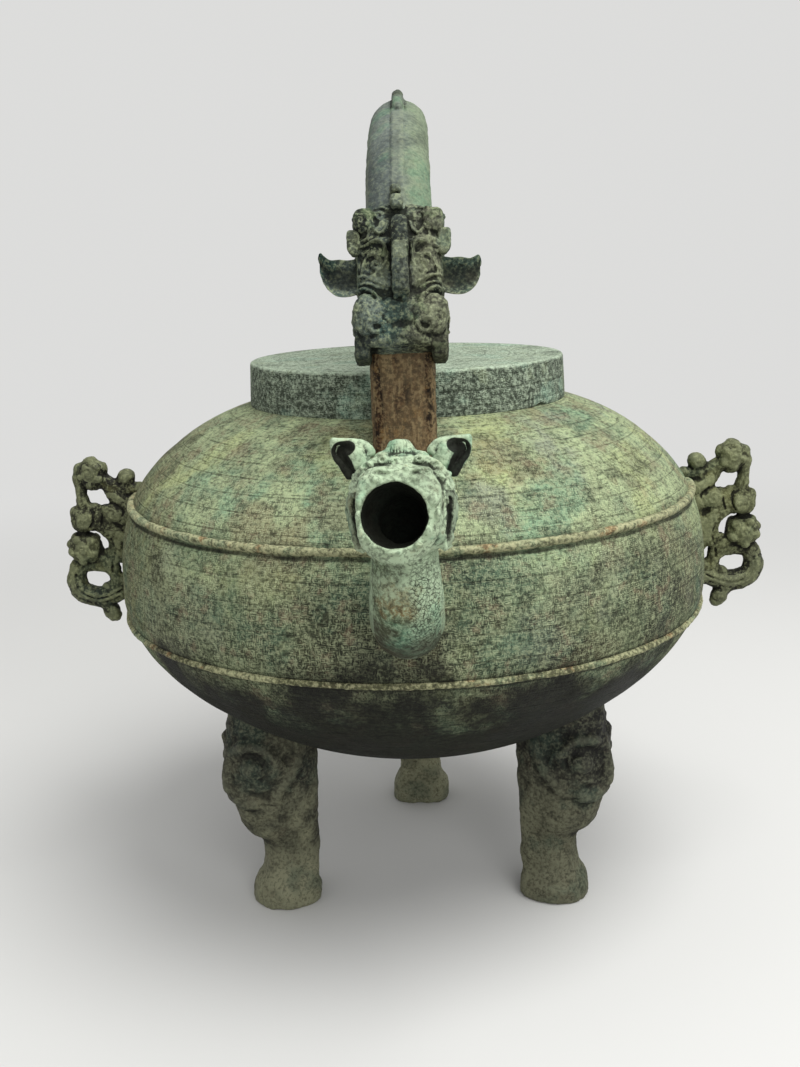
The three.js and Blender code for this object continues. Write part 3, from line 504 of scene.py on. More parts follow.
def tube_faces(rows, columns, closed=True):
    """Quads between rows of points; the last row meets the first one where closed is True."""
    last = rows if closed else rows - 1
    row, column = np.meshgrid(np.arange(last), np.arange(columns), indexing="ij")
    beside = (column + 1) % columns
    above = (row + 1) % rows
    corners = [row * columns + column, row * columns + beside]
    corners += [above * columns + beside, above * columns + column]
    return np.stack(corners, -1).reshape(-1, 4)


def fans(columns, last_row, low_pole, high_pole):
    """Triangles from the first and the last row of a tube to the points that close it."""
    column = np.arange(columns)
    beside = (column + 1) % columns
    start = last_row * columns
    low = np.stack([np.full(columns, low_pole), beside, column], -1)
    high = np.stack([np.full(columns, high_pole), start + column, start + beside], -1)
    return np.concatenate([low, high])


def spun(profile, columns, shape):
    """A profile of (radius, height) carried round the axis; both its ends lie on the axis.

    shape takes the angles, the radii and the heights of its grid and gives how far each point
    goes out and up beyond the profile.
    """
    ring = np.linspace(0, 2 * np.pi, columns, endpoint=False)[None, :]
    inner = profile[1:-1]
    radius = np.repeat(inner[:, :1], columns, 1)
    height = np.repeat(inner[:, 1:2], columns, 1)
    out, up = shape(ring, radius, height)
    radius, height = radius + out, height + up
    points = np.stack([radius * np.cos(ring), radius * np.sin(ring), height], -1).reshape(-1, 3)
    rows = len(inner)
    poles = [[0, 0, profile[0][1]], [0, 0, profile[-1][1]]]
    faces = [tube_faces(rows, columns, False), fans(columns, rows - 1, len(points), len(points) + 1)]
    return np.concatenate([points, poles]), faces


def curve(points, between=5):
    """A smooth line through rows of numbers, by Catmull and Rom's cubic between each two rows."""
    rows = np.asarray(points, float)
    padded = np.concatenate([2 * rows[:1] - rows[1:2], rows, 2 * rows[-1:] - rows[-2:-1]])
    t = np.linspace(0, 1, between, endpoint=False)[None, :, None]
    a, b, c, d = (padded[k : len(padded) - 3 + k][:, None, :] for k in range(4))
    inside = b + 0.5 * t * (c - a + t * (2 * a - 5 * b + 4 * c - d + t * (3 * (b - c) + d - a)))
    return np.concatenate([inside.reshape(-1, rows.shape[1]), rows[-1:]])


def coil(centre, outer, inner, turns, start, width, height, steps=22):
    """A flat spiral stroke: its radius shrinks from outer to inner as its angle goes round."""
    share = np.linspace(0, 1, steps)
    angle = np.radians(start) + 2 * np.pi * turns * share
    radius = outer + (inner - outer) * share
    spread = np.ones(steps)
    u, v = centre[0] + radius * np.cos(angle), centre[1] + radius * np.sin(angle)
    return np.stack([u, v, width * spread, height * spread], -1)


def lumps(x, y, z, size, seed):
    """Smooth uneven ground between -1 and 1: random values on a lattice, blended by 3t^2 - 2t^3."""
    count = 32
    table = np.random.default_rng(seed).uniform(-1, 1, (count, count, count)).astype(np.float32)
    cells, shares = [], []
    for place in (x, y, z):
        place = np.asarray(place, np.float32) * np.float32(2 / size) + np.float32(0.37 * seed)
        low = np.floor(place)
        share = place - low
        cells.append(low.astype(np.int32))
        shares.append(share * share * (3 - 2 * share))
    total = 0
    for corner in range(8):
        picks, weight = [], 1
        for axis in range(3):
            far = corner >> axis & 1
            picks.append((cells[axis] + far) % count)
            weight = weight * (shares[axis] if far else 1 - shares[axis])
        total = total + table[tuple(picks)] * weight
    return total


def oval(across, along, wide, deep, power):
    """Distance to |x/a|^p + |y/b|^p = 1 from the shares |x/a| and |y/b|, by value over slope."""
    total = np.maximum(across**power + along**power, 1e-6)
    gauge = total ** (1 / power)
    slope = np.hypot(across ** (power - 1) / wide, along ** (power - 1) / deep)
    return (gauge - 1) / np.maximum(slope * gauge ** (1 - power), 1e-3)


def smooth_min(a, b, soft):
    """The smaller of two distances, rounded where they are nearly equal."""
    share = np.clip(0.5 + 0.5 * (b - a) / soft, 0, 1)
    return b + (a - b) * share - soft * share * (1 - share)


EMPTY = 40  # distance in mm that stands for far outside any form
SMALL = 1e-9  # keeps a square from being nought


class Clay:
    """A block of space as a grid of distances to the skin of a form, negative inside it.

    Rounded bars and blobs are blended into the grid or carved out of it, drawings are pressed on
    the sides that face an axis, and the skin is taken off where the distance is nought.
    """

    def __init__(self, low, high, pitch):
        self.pitch = pitch
        self.axes = [np.arange(a, b + pitch, pitch, dtype=np.float32) for a, b in zip(low, high)]
        self.field = np.full([len(axis) for axis in self.axes], EMPTY, np.float32)

    def window(self, low, high):
        """The cells between two corners, and their coordinates ready to be combined."""
        limits = zip(self.axes, low, high)
        picks = tuple(slice(*np.searchsorted(axis, (a, b))) for axis, a, b in limits)
        x, y, z = (axis[pick] for axis, pick in zip(self.axes, picks))
        return picks, x[:, None, None], y[None, :, None], z[None, None, :]

    def everywhere(self):
        """The coordinates of the whole block, ready to be combined."""
        x, y, z = self.axes
        return x[:, None, None], y[None, :, None], z[None, None, :]

    def merge(self, picks, distance, soft, carve):
        """Blends a form into those cells, or carves it out of them."""
        old = self.field[picks]
        if carve:
            self.field[picks] = -smooth_min(-old, distance, soft)
        else:
            self.field[picks] = smooth_min(old, distance, soft)

    def limb(self, points, soft, carve=False, between=5, flat=(1, 1, 1), slab=None):
        """A round bar through [x, y, z, radius] rows; flat widens or narrows its section by axis.

        A slab of (middle, half width) along X cuts its sides flat.
        """
        line = curve(points, between)
        wide = np.array(flat, float)
        reach = line[:, 3].max() * wide.max() + soft + 2 * self.pitch
        picks, x, y, z = self.window(line[:, :3].min(0) - reach, line[:, :3].max(0) + reach)
        nearest = None
        for a, b in zip(line[:-1], line[1:]):
            along = (b - a)[:3] / wide
            square = max(float(along @ along), SMALL)
            px, py, pz = (x - a[0]) / wide[0], (y - a[1]) / wide[1], (z - a[2]) / wide[2]
            share = np.clip((px * along[0] + py * along[1] + pz * along[2]) / square, 0, 1)
            px, py, pz = (p - share * step for p, step in zip((px, py, pz), along))
            gap = np.sqrt(px**2 + py**2 + pz**2)
            gap = (gap - a[3] - share * (b[3] - a[3])) * wide.min()
            nearest = gap if nearest is None else np.minimum(nearest, gap)
        if slab:
            nearest = np.maximum(nearest, np.abs(x - slab[0]) - slab[1])
        self.merge(picks, nearest, soft, carve)

    def blob(self, centre, half, power, soft=1.0, carve=False):
        """An ellipsoid, or with a higher power a rounded block: |x/a|^p + |y/b|^p + |z/c|^p = 1."""
        centre, half = np.array(centre, float), np.array(half, float)
        reach = half + soft + 2 * self.pitch
        picks, x, y, z = self.window(centre - reach, centre + reach)
        shares = [np.abs(v - c) / h for v, c, h in zip((x, y, z), centre, half)]
        total = np.maximum(sum(s**power for s in shares), 1e-6)
        slope = sum((s ** (power - 1) / h) ** 2 for s, h in zip(shares, half))
        gauge = total ** (1 / power)
        steep = np.sqrt(slope) * gauge ** (1 - power)
        self.merge(picks, (gauge - 1) / np.maximum(steep, 1e-3), soft, carve)

    def press(self, heights, side, sharp):
        """Raises the skin that faces a side, 'x', '-y' and so on, by heights over its plane.

        The height counts in full where the skin's slope to that side is above 1.15 times sharp.
        """
        axis = "xyz".index(side[-1])
        lean = np.gradient(self.field, self.pitch, axis=axis)
        facing = np.clip((-lean if side[0] == "-" else lean) / sharp - 0.15, 0, 1)
        self.field -= facing * np.expand_dims(heights, axis)

    def relief(self, strokes, sides, seed, strength=1.0, sharp=0.6):
        """Presses one drawing, worn in patches, on each of those sides."""
        level, up = (axis for k, axis in enumerate(self.axes) if k != "xyz".index(sides[0][-1]))
        heights = drawing(level, up, strokes)
        heights *= strength * worn_away(level, up, seed)
        for side in sides:
            self.press(heights.astype(np.float32), side, sharp)

    def skin(self):
        """Points, one group of quads, and wear of the skin.

        Each cell that the skin crosses gets the mean of its edges' crossings as its point, and
        each crossed edge gets the quad of the four cells round it. Wear is 1 on edges that stand
        out and 0 in hollows: the distance's local mean less the distance.
        """
        field = np.pad(self.field, 1, constant_values=EMPTY)
        shape = np.array(field.shape)
        cells, places, quads = [], [], []
        for axis in range(3):
            start, end = (np.take(field, range(k, shape[axis] - 1 + k), axis) for k in (0, 1))
            crossed = (start < 0) != (end < 0)
            where = np.argwhere(crossed)
            place = where.astype(float)
            place[:, axis] += start[crossed] / (start[crossed] - end[crossed])
            others = [k for k in range(3) if k != axis]
            around = []
            for back in ((0, 0), (1, 0), (1, 1), (0, 1)):
                cell = where.copy()
                cell[:, others] -= back
                flat = np.ravel_multi_index(cell.T, shape)
                around.append(flat)
                cells.append(flat)
                places.append(place)
            loop = np.stack(around, -1)
            turned = (start[crossed] < 0) == (axis == 1)
            loop[turned] = loop[turned][:, ::-1]
            quads.append(loop)
        cells, places = np.concatenate(cells), np.concatenate(places)
        used, index = np.unique(cells, return_inverse=True)
        count = np.bincount(index)
        points = np.stack([np.bincount(index, places[:, k]) / count for k in range(3)], -1)
        quads = np.searchsorted(used, np.concatenate(quads))
        mean = field
        for away in (1, 2, 4):
            for axis in range(3):
                mean = (np.roll(mean, away, axis) + mean + np.roll(mean, -away, axis)) / 3
        rise = (mean - field)[np.unravel_index(used, shape)] / self.pitch
        corner = np.array([axis[0] for axis in self.axes]) - self.pitch
        return points * self.pitch + corner, [quads], np.clip(0.5 + 0.55 * (rise - 0.25), 0, 1)


def drawing(axis_u, axis_v, strokes):
    """Heights over a plane: each stroke is a rounded ridge, or a groove where its height is below 0.

    A stroke's rows are [u, v, half width, height]; across it the height falls as (1 - d^2)^0.8 to
    nought at its edge, and of two ridges the higher one counts.
    """
    u, v = axis_u[:, None], axis_v[None, :]
    ridge = np.zeros((len(axis_u), len(axis_v)), np.float32)
    groove = ridge.copy()
    for rows in strokes:
        line = curve(rows, 4) if len(rows) < 12 else np.asarray(rows)
        for a, b in zip(line[:-1], line[1:]):
            along = (b - a)[:2]
            square = max(float(along @ along), SMALL)
            share = np.clip(((u - a[0]) * along[0] + (v - a[1]) * along[1]) / square, 0, 1)
            gap = np.hypot(u - a[0] - share * along[0], v - a[1] - share * along[1])
            width = a[2] + share * (b[2] - a[2])
            height = a[3] + share * (b[3] - a[3])
            rise = height * np.clip(1 - (gap / width) ** 2, 0, 1) ** 0.8
            ridge = np.maximum(ridge, rise)
            groove = np.minimum(groove, rise)
    return ridge + groove


def mirrored(strokes):
    """The strokes and their mirror images across u = 0."""
    flipped = [np.asarray(rows, float) * [-1, 1, 1, 1] for rows in strokes]
    return [np.asarray(rows, float) for rows in strokes] + flipped


def worn_away(axis_u, axis_v, seed):
    """How much of a relief is left, mostly 0.45 to 0.9, in uneven patches over its plane."""
    u, v = axis_u[:, None], axis_v[None, :]
    return 0.66 + 0.5 * lumps(u, v, 0 * u, 6.5, seed) + 0.35 * lumps(u, v, 0 * u, 2.4, seed + 1)


def erode(clay, seed, amount):
    """Uneven corroded skin: lumps of 6, 2.6 and 1.3 mm added to the distances."""
    x, y, z = clay.everywhere()
    rough = 0.24 * lumps(x, y, z, 6.0, seed) + 0.14 * lumps(x, y, z, 2.6, seed + 1)
    rough += 0.12 * lumps(x, y, z, 1.3, seed + 2)
    clay.field += np.float32(amount) * rough


def milder(wear, share):
    """Wear brought nearer its middle value: 0.5 plus a share of what it is above or below that."""
    return 0.5 + share * (wear - 0.5)


def darkened(points, worn_and_shaded, line, reach):
    """Wear with nought within reach of a line: painted shade, as deep inside a bore."""
    nearest = np.full(len(points), 1e9)
    for place in line:
        nearest = np.minimum(nearest, ((points - place) ** 2).sum(-1))
    return worn_and_shaded * np.clip((np.sqrt(nearest) - reach) / 0.8, 0, 1)


def turned_x(points, degrees, shift):
    """Points turned about X by degrees and then moved."""
    c, s = math.cos(math.radians(degrees)), math.sin(math.radians(degrees))
    return np.asarray(points) @ np.array([[1, 0, 0], [0, c, s], [0, -s, c]]) + shift


def turned_z(points, degrees):
    """Points turned about the vessel's axis."""
    c, s = math.cos(math.radians(degrees)), math.sin(math.radians(degrees))
    return np.asarray(points) @ np.array([[c, s, 0], [-s, c, 0], [0, 0, 1]])


# Vessel: two superellipse quarters that meet at the widest circle, a neck, and two cords round it

WIDEST = 127.0
SHOULDER_RISE = 73.0
SHOULDER_POWER = 2.7
BELLY_DROP = 68.0
BELLY_POWER = 1.8
NECK_RADIUS = 57.4
RIM = 210.4
WALL = 2.6
OUTER_GAP = 1.75  # between rows of points up the outside
INNER_GAP = 4.5  # between rows of points down the inside
# height, half width, how far it stands proud
CORDS = {"cord_upper": (161.0, 1.55, 2.0), "cord_lower": (118.0, 1.2, 1.55)}


def side_radius(height, shift=0.0):
    """Radius of the vessel's side: R (1 - |h/H|^p)^(1/p), with H and p of the shoulder or belly."""
    height = np.asarray(height, float)
    up = height > WIDEST
    share = np.abs(height - WIDEST) / np.where(up, SHOULDER_RISE, BELLY_DROP)
    power = np.where(up, SHOULDER_POWER, BELLY_POWER)
    return (belly() + shift) * np.clip(1 - share**power, 0, 1) ** (1 / power)


def belly():
    """The user's widest radius in millimetres."""
    return bpy.context.scene.he_sizes.belly_radius / MM


def quarter(power, rise, shift, steps=90):
    """(radius, height above the widest circle) of one quarter, from the widest circle to the axis."""
    angle = np.linspace(0, np.pi / 2, steps)
    radius = (belly() + shift) * np.cos(angle) ** (2 / power)
    return np.stack([radius, (rise + math.copysign(shift, rise)) * np.sin(angle) ** (2 / power)], -1)


def even(profile, gap):
    """The profile's points again, about gap apart along it."""
    profile = np.asarray(profile, float)
    run = np.concatenate([[0], np.cumsum(np.hypot(*np.diff(profile, axis=0).T))])
    places = np.linspace(0, run[-1], max(2, round(run[-1] / gap)))
    return np.stack([np.interp(places, run, profile[:, k]) for k in (0, 1)], -1)


def side(shift, neck):
    """The side from the foot to the neck, moved out by shift."""
    down = quarter(BELLY_POWER, -BELLY_DROP, shift)[::-1]
    up = quarter(SHOULDER_POWER, SHOULDER_RISE, shift)[1:]
    up = up[up[:, 0] > neck + 0.8]
    return np.concatenate([down, up]) + [0, WIDEST]


def make_vessel():
    """The thin shell: outside and inside as one profile that goes round the rim."""
    outside = side(0, NECK_RADIUS)
    inside = side(-WALL, NECK_RADIUS - WALL)[::-1]
    rim = [
        [NECK_RADIUS, RIM - 0.8],
        [NECK_RADIUS - 0.6, RIM],
        [NECK_RADIUS - WALL + 0.6, RIM],
        [NECK_RADIUS - WALL, RIM - 0.8],
    ]
    neck = [[NECK_RADIUS + 0.1, outside[-1][1] + 0.7], [NECK_RADIUS, outside[-1][1] + 1.6]]
    outer = even(outside, OUTER_GAP)
    throat = even(rim[3:] + [inside[0]], 3)
    inner = even(inside, INNER_GAP)[1:]
    profile = np.concatenate([outer, even(neck + rim[:1], 1.8), rim[1:3], throat, inner])

    def dents(ring, radius, height):
        """Outside dents: lumps of 70 mm and of 9 mm, less towards the axis and the neck."""
        x, y = radius * np.cos(ring), radius * np.sin(ring)
        row = np.arange(len(radius))[:, None]
        share = np.clip((len(outer) - row) / 6, 0, 1) * np.clip(radius / 30, 0, 1)
        dent = 0.34 * lumps(x, y, height, 70, 11) + 0.10 * lumps(x, y, height, 9, 12)
        return dent * share, 0

    points, faces = spun(profile, 420, dents)
    worn_and_shaded = np.full(len(points), 0.5)
    heights, radii = points[:, 2], np.hypot(points[:, 0], points[:, 1])
    # Painted shade: the wear map is lowered along both sides of each cord and round the foot of the
    # neck, under the lid's skirt.
    for height, half, _ in CORDS.values():
        away = np.abs(heights - height) - half
        worn_and_shaded -= 0.34 * np.exp(-((away / 1.3) ** 2)) * (radii > belly() * 0.7)
    worn_and_shaded -= 0.3 * np.exp(-(((radii - NECK_RADIUS) / 3) ** 2)) * (heights < RIM - 6)
    make_piece("vessel", "vessel_patina", points, faces, worn_and_shaded, ["body_shell"])
    for name, (height, half, proud) in CORDS.items():
        make_cord(name, height, half, proud)


def make_cord(name, height, half, proud, columns=1440, rows=14, twists=236):
    """A twisted cord round the vessel: an oval ring whose oval turns as it goes round."""
    ring = np.linspace(0, 2 * np.pi, columns, endpoint=False)[None, :]
    turn = -np.linspace(0, 2 * np.pi, rows, endpoint=False)[:, None]
    radius = float(side_radius(height))
    slope = float(side_radius(height + 0.5) - side_radius(height - 0.5))
    out = np.array([1, -slope]) / math.hypot(1, slope)
    twist = 1 + 0.035 * np.cos(twists * ring + turn)
    x, y, z = (0 * ring + v for v in (radius * np.cos(ring), radius * np.sin(ring), height))
    wander = 0.22 * lumps(x, y, z, 40, 21)
    swell = twist * (0.95 + 0.12 * lumps(x, y, z, 16, 22) + 0.09 * lumps(x, y, z, 3, 23))
    along = np.sin(turn) * half * swell
    proud_by = np.cos(turn) * proud * swell
    far = radius + proud_by * out[0] - along * out[1] + wander * 0.3
    high = height + proud_by * out[1] + along * out[0] + wander
    points = np.stack([far * np.cos(ring), far * np.sin(ring), high + 0 * ring], -1).reshape(-1, 3)
    worn_and_shaded = np.clip(0.5 + 0.2 * np.cos(turn) + 1.5 * (twist - 1), 0, 1)
    faces = [tube_faces(rows, columns)]
    make_piece(name, "vessel_patina", points, faces, worn_and_shaded.ravel(), look="cord")


# Lid

LID_UNDER = RIM + 0.3
LID_TOP = LID_UNDER + 2.6
LID_FOOT = LID_TOP - 16.8
LID_INNER = NECK_RADIUS + 0.4
LID_OUTER = LID_INNER + 3.5
CHIP_ANGLE = -37.0  # degrees round the axis, where the skirt's lower edge is chipped


def make_lid():
    """A flat cap: plate and skirt as one profile, with a groove above the skirt's lower edge."""
    groove = [LID_FOOT + 2.6, LID_FOOT + 3.1, LID_FOOT + 3.6]
    skirt = [
        [LID_OUTER - 0.5, LID_FOOT],
        [LID_OUTER, LID_FOOT + 0.5],
        [LID_OUTER, groove[0]],
        [LID_OUTER - 0.22, groove[1]],
        [LID_OUTER - 0.05, groove[2]],
        [LID_OUTER - 0.6, LID_TOP - 1.0],
        [LID_OUTER - 0.85, LID_TOP - 0.3],
        [LID_OUTER - 1.5, LID_TOP],
    ]
    under = even([[0, LID_UNDER], [LID_INNER, LID_UNDER], [LID_INNER, LID_FOOT]], 3.0)
    outer = even(skirt, 0.42)
    plate = even([[LID_OUTER - 1.5, LID_TOP], [0, LID_TOP]], 1.1)[1:]
    profile = np.concatenate([under, outer, plate])
    start = len(under)

    def worked(ring, radius, height):
        """Skirt: lumps of 26 mm plus lines 1.15 mm apart, and the chip. Plate: lumps of 24 mm."""
        row = np.arange(len(radius))[:, None] + 1
        shown = (row >= start).astype(float)
        x, y = radius * np.cos(ring), radius * np.sin(ring)
        on_skirt = shown * (radius > LID_OUTER - 0.9)
        lines = 0.05 * np.sin(height * 2 * np.pi / 1.15) * (height < LID_TOP - 1.2)
        out = on_skirt * (0.10 * lumps(x, y, height, 26, 31) + lines)
        near = np.exp(-(((np.degrees(ring) - (CHIP_ANGLE % 360)) / 3.2) ** 2))
        low = np.clip((LID_FOOT + 2.2 - height) / 2.2, 0, 1)
        chip = shown * near * low * 1.5
        return out, chip + shown * (radius < LID_OUTER - 3) * 0.10 * lumps(x, y, height, 24, 32)

    points, faces = spun(profile, 540, worked)
    worn_and_shaded = np.full(len(points), 0.5)
    radii = np.hypot(points[:, 0], points[:, 1])
    worn_and_shaded += 0.35 * np.exp(-(((radii - LID_OUTER + 1.1) / 0.8) ** 2)) * (points[:, 2] > LID_TOP - 1.4)
    worn_and_shaded -= 0.22 * np.exp(-(((points[:, 2] - groove[1]) / 0.5) ** 2)) * (radii > LID_OUTER - 1)
    make_piece("lid", "lid_patina", points, faces, worn_and_shaded, ["lid_shell"], body="lid")


def make_lid_fittings():
    """A small bridge riveted through the lid, and the loose ring in it."""
    span, bar, spring = 5.2, 1.5, LID_TOP + 1.2
    clay = Clay((-3.5, -9, LID_UNDER - 1), (3.5, 9, spring + span + 4), 0.28)
    arch = [[0, span * math.cos(a), spring + span * math.sin(a), bar]
            for a in np.linspace(math.pi, 0, 9)]
    low = LID_UNDER + 0.9
    clay.limb([[0, -span, low, bar], *arch, [0, span, low, bar]], 0.3)
    clay.field += np.float32(0.05) * lumps(*clay.everywhere(), 7.0, 41)
    make_piece("lid_loop_bar", "lid_patina", *clay.skin(), ["lid_loop"], body="lid")
    radius, thick = 8.6, 1.4
    height = LID_TOP + thick + 0.3
    clay = Clay((-12, -3, height - 3), (12, 20, height + 3), 0.3)
    ring = [[radius * math.sin(a), radius - radius * math.cos(a), height, thick]
            for a in np.linspace(0, 2 * math.pi, 25)]
    clay.limb(ring, 0.3)
    clay.field += np.float32(0.05) * lumps(*clay.everywhere(), 7.0, 42)
    make_piece("lid_ring_bar", "lid_patina", *clay.skin(), ["lid_ring"], body="lid_ring")


# Handle

REACH = 80.0
ARCH_CENTRE = 220.4
HANDLE_HALF = 11.5
HANDLE_BACK = 7.6
HANDLE_UNDER = 5.2
HEAD_ANGLE = 18.0
TAIL_SEAT = 183.7


def section(x, out, half, back, under, power_back, power_under=3.2):
    """Distance to a bar's section: |x/w|^p + |out/h|^p = 1, rounder on its back than underneath."""
    top = out > 0
    high = np.where(top, back, under)
    return oval(np.abs(x) / half, np.abs(out) / high, half, high, np.where(top, power_back, power_under))


def make_post():
    """The plain upright bar in front, from the shoulder into the dragon's mouth."""
    clay = Clay((-13, -REACH - 9, 180), (13, -REACH + 9, 243), 0.5)
    x, y, z = clay.everywhere()
    clay.field = section(x, -(y + REACH) + 0 * z, 10.8, 6.8, 6.8, 2.4, 3.0).astype(np.float32)
    clay.field = np.maximum(clay.field, np.maximum(z - 240, 182 - z))
    clay.field += 0.25 * lumps(x, y, z, 22, 51)
    erode(clay, 52, 0.9)
    make_piece("post", "post_bronze", *clay.skin(), ["handle_post"])


def on_handle(points):
    """The head's own points leant back and moved to its place on the handle's arc."""
    angle = math.radians(HEAD_ANGLE)
    place = [0.0, -REACH * math.cos(angle), ARCH_CENTRE + REACH * math.sin(angle)]
    return turned_x(points, -HEAD_ANGLE, place)


def make_arch():
    """The dragon's body: a half-round bar on half a circle, its ridge, its curls and its tail."""
    clay = Clay((-14, -78, 180), (14, 114, 314), 0.6)
    x, y, z = clay.everywhere()
    out = np.where(z > ARCH_CENTRE, np.hypot(y, z - ARCH_CENTRE), np.abs(y)) - REACH
    rise = np.clip((z - ARCH_CENTRE) / np.maximum(np.hypot(y, z - ARCH_CENTRE), 1), 0, 1) ** 2
    half = HANDLE_HALF - 1.3 * rise
    bar = section(x, out + 1.9 * rise, half, HANDLE_BACK + 1.7, HANDLE_UNDER - 0.8, 2.0)
    front = math.radians(30)
    behind_head = (y * math.sin(front) + (z - ARCH_CENTRE) * math.cos(front)) * -1
    behind_head = np.where(y > 0, -EMPTY, behind_head)
    bar = np.maximum(np.maximum(bar, behind_head), 184 - z)
    clay.field = bar.astype(np.float32)
    ridge = np.maximum(np.abs(x) - 2.1, out + 1.9 * rise - HANDLE_BACK - 2.1)
    ridge = np.maximum(ridge, np.maximum(behind_head, ARCH_CENTRE + 2 - z))
    ridge = np.maximum(ridge, 3 - out)
    clay.field = smooth_min(clay.field, ridge.astype(np.float32), 0.35)
    gutter = np.hypot(np.abs(x) - 2.5, (out + 1.9 * rise - HANDLE_BACK - 1.5) * 0.5)
    gutter = np.where(behind_head < 0, gutter - 0.16, 1)
    clay.field = np.maximum(clay.field, -gutter).astype(np.float32)
    hook = [[0, -7, 306.6, 1.7], [0, -14, 308.2, 1.9], [0, -22, 307.0, 2.0], [0, -29, 304.4, 2.0],
            [0, -33, 302.2, 1.9]]
    clay.limb(hook, 0.3)
    tail = [[0, 4, 10, 6], [0, 13, 11, 5], [0, 20, 17, 4], [0, 19, 24, 3], [0, 14, 23, 2.4]]
    clay.limb([[a, b + REACH, c + TAIL_SEAT, r] for a, b, c, r in tail], 1.5)
    clay.field += 0.2 * lumps(x, y, z, 14, 53)
    erode(clay, 54, 0.8)
    points, faces, worn_and_shaded = clay.skin()
    far = np.hypot(points[:, 1], points[:, 2] - ARCH_CENTRE)
    on_hook = (far > REACH + HANDLE_BACK + 0.6) & (points[:, 2] > 299.5) & (points[:, 1] < -3)
    worn_and_shaded = np.where(on_hook, worn_and_shaded * 0.35, worn_and_shaded)
    make_piece("arch", "dragon_patina", points, faces, worn_and_shaded, ["handle_arch"], look="dragon_back")


def head_strokes():
    """Front drawing of the dragon's face, right half: [x, z, half width, height] rows."""
    strokes = [
        # brow that turns round the eye
        [[12.9, 7.6, 0.5, 0.9], [9.9, 8.5, 0.6, 1.3], [7.1, 9.4, 0.7, 1.4], [5.3, 8.7, 0.7, 1.4],
         [4.4, 6.8, 0.65, 1.4], [4.1, 4.0, 0.65, 1.4], [4.8, 1.7, 0.6, 1.3], [6.8, -0.4, 0.5, 0.9]],
        [[6.0, 5.0, 0.5, 0.9], [9.1, 5.2, 0.6, 1.3], [10.9, 4.0, 0.6, 1.3], [12.0, 1.4, 0.55, 1.2],
         [12.3, -0.8, 0.5, 0.9]],
        coil((7.6, 2.3), 2.1, 0.5, 1.1, 100, 0.7, 1.1, 14),
        # curls above the brow
        [[3.6, 15.8, 0.5, 0.9], [4.4, 13.4, 0.6, 1.2], [6.0, 12.0, 0.65, 1.4], [7.4, 12.9, 0.6, 1.3],
         [8.4, 14.6, 0.55, 1.3], [9.4, 13.3, 0.6, 1.2], [9.9, 11.5, 0.5, 0.9]],
        [[10.2, 10.2, 0.9, 1.2], [11.4, 9.9, 0.9, 1.1]],
        coil((11.0, 17.0), 2.2, 0.6, 1.0, 200, 0.8, 0.6, 16),
        coil((6.3, 18.2), 1.7, 0.5, 1.0, 20, 0.7, 0.55, 14),
        [[3.4, 20.6, 0.5, 0.8], [6.4, 21.6, 0.5, 0.9], [9.4, 20.6, 0.5, 0.8]],
        # wrinkles over the nostrils
        [[4.6, -5.2, 0.8, 0.9], [6.0, -4.1, 0.8, 1.1], [7.8, -3.0, 0.7, 1.3], [9.8, -2.0, 0.65, 1.3],
         [12.2, -1.4, 0.6, 1.3], [14.4, -1.2, 0.6, 1.1]],
        [[6.6, -5.8, 0.4, 0.6], [9.2, -4.2, 0.4, 0.7], [13.4, -3.6, 0.4, 0.6]],
        [[6.4, -10.8, 0.55, 0.9], [7.2, -9.0, 0.65, 1.2], [8.2, -7.7, 0.7, 1.4], [10.2, -6.1, 0.7, 1.4],
         [12.2, -5.4, 0.65, 1.3], [14.8, -5.6, 0.6, 1.1]],
        [[7.9, -10.4, 0.5, -0.8], [9.0, -8.7, 0.55, -1.1], [10.8, -7.4, 0.55, -1.1],
         [14.0, -7.0, 0.5, -0.9]],
        # nostril curl and lip
        coil((8.3, -18.6), 3.0, 1.1, 0.9, 170, 0.8, 0.8, 18),
        [[10.6, -21.4, 0.6, 0.8], [12.4, -20.6, 0.6, 0.9], [14.0, -18.0, 0.6, 0.8],
         [14.2, -14.4, 0.6, 0.7]],
        [[0.2, -22.8, 0.6, -0.5], [5, -24.6, 0.6, -0.5], [10.4, -25.6, 0.6, -0.4]],
    ]
    return mirrored(strokes)


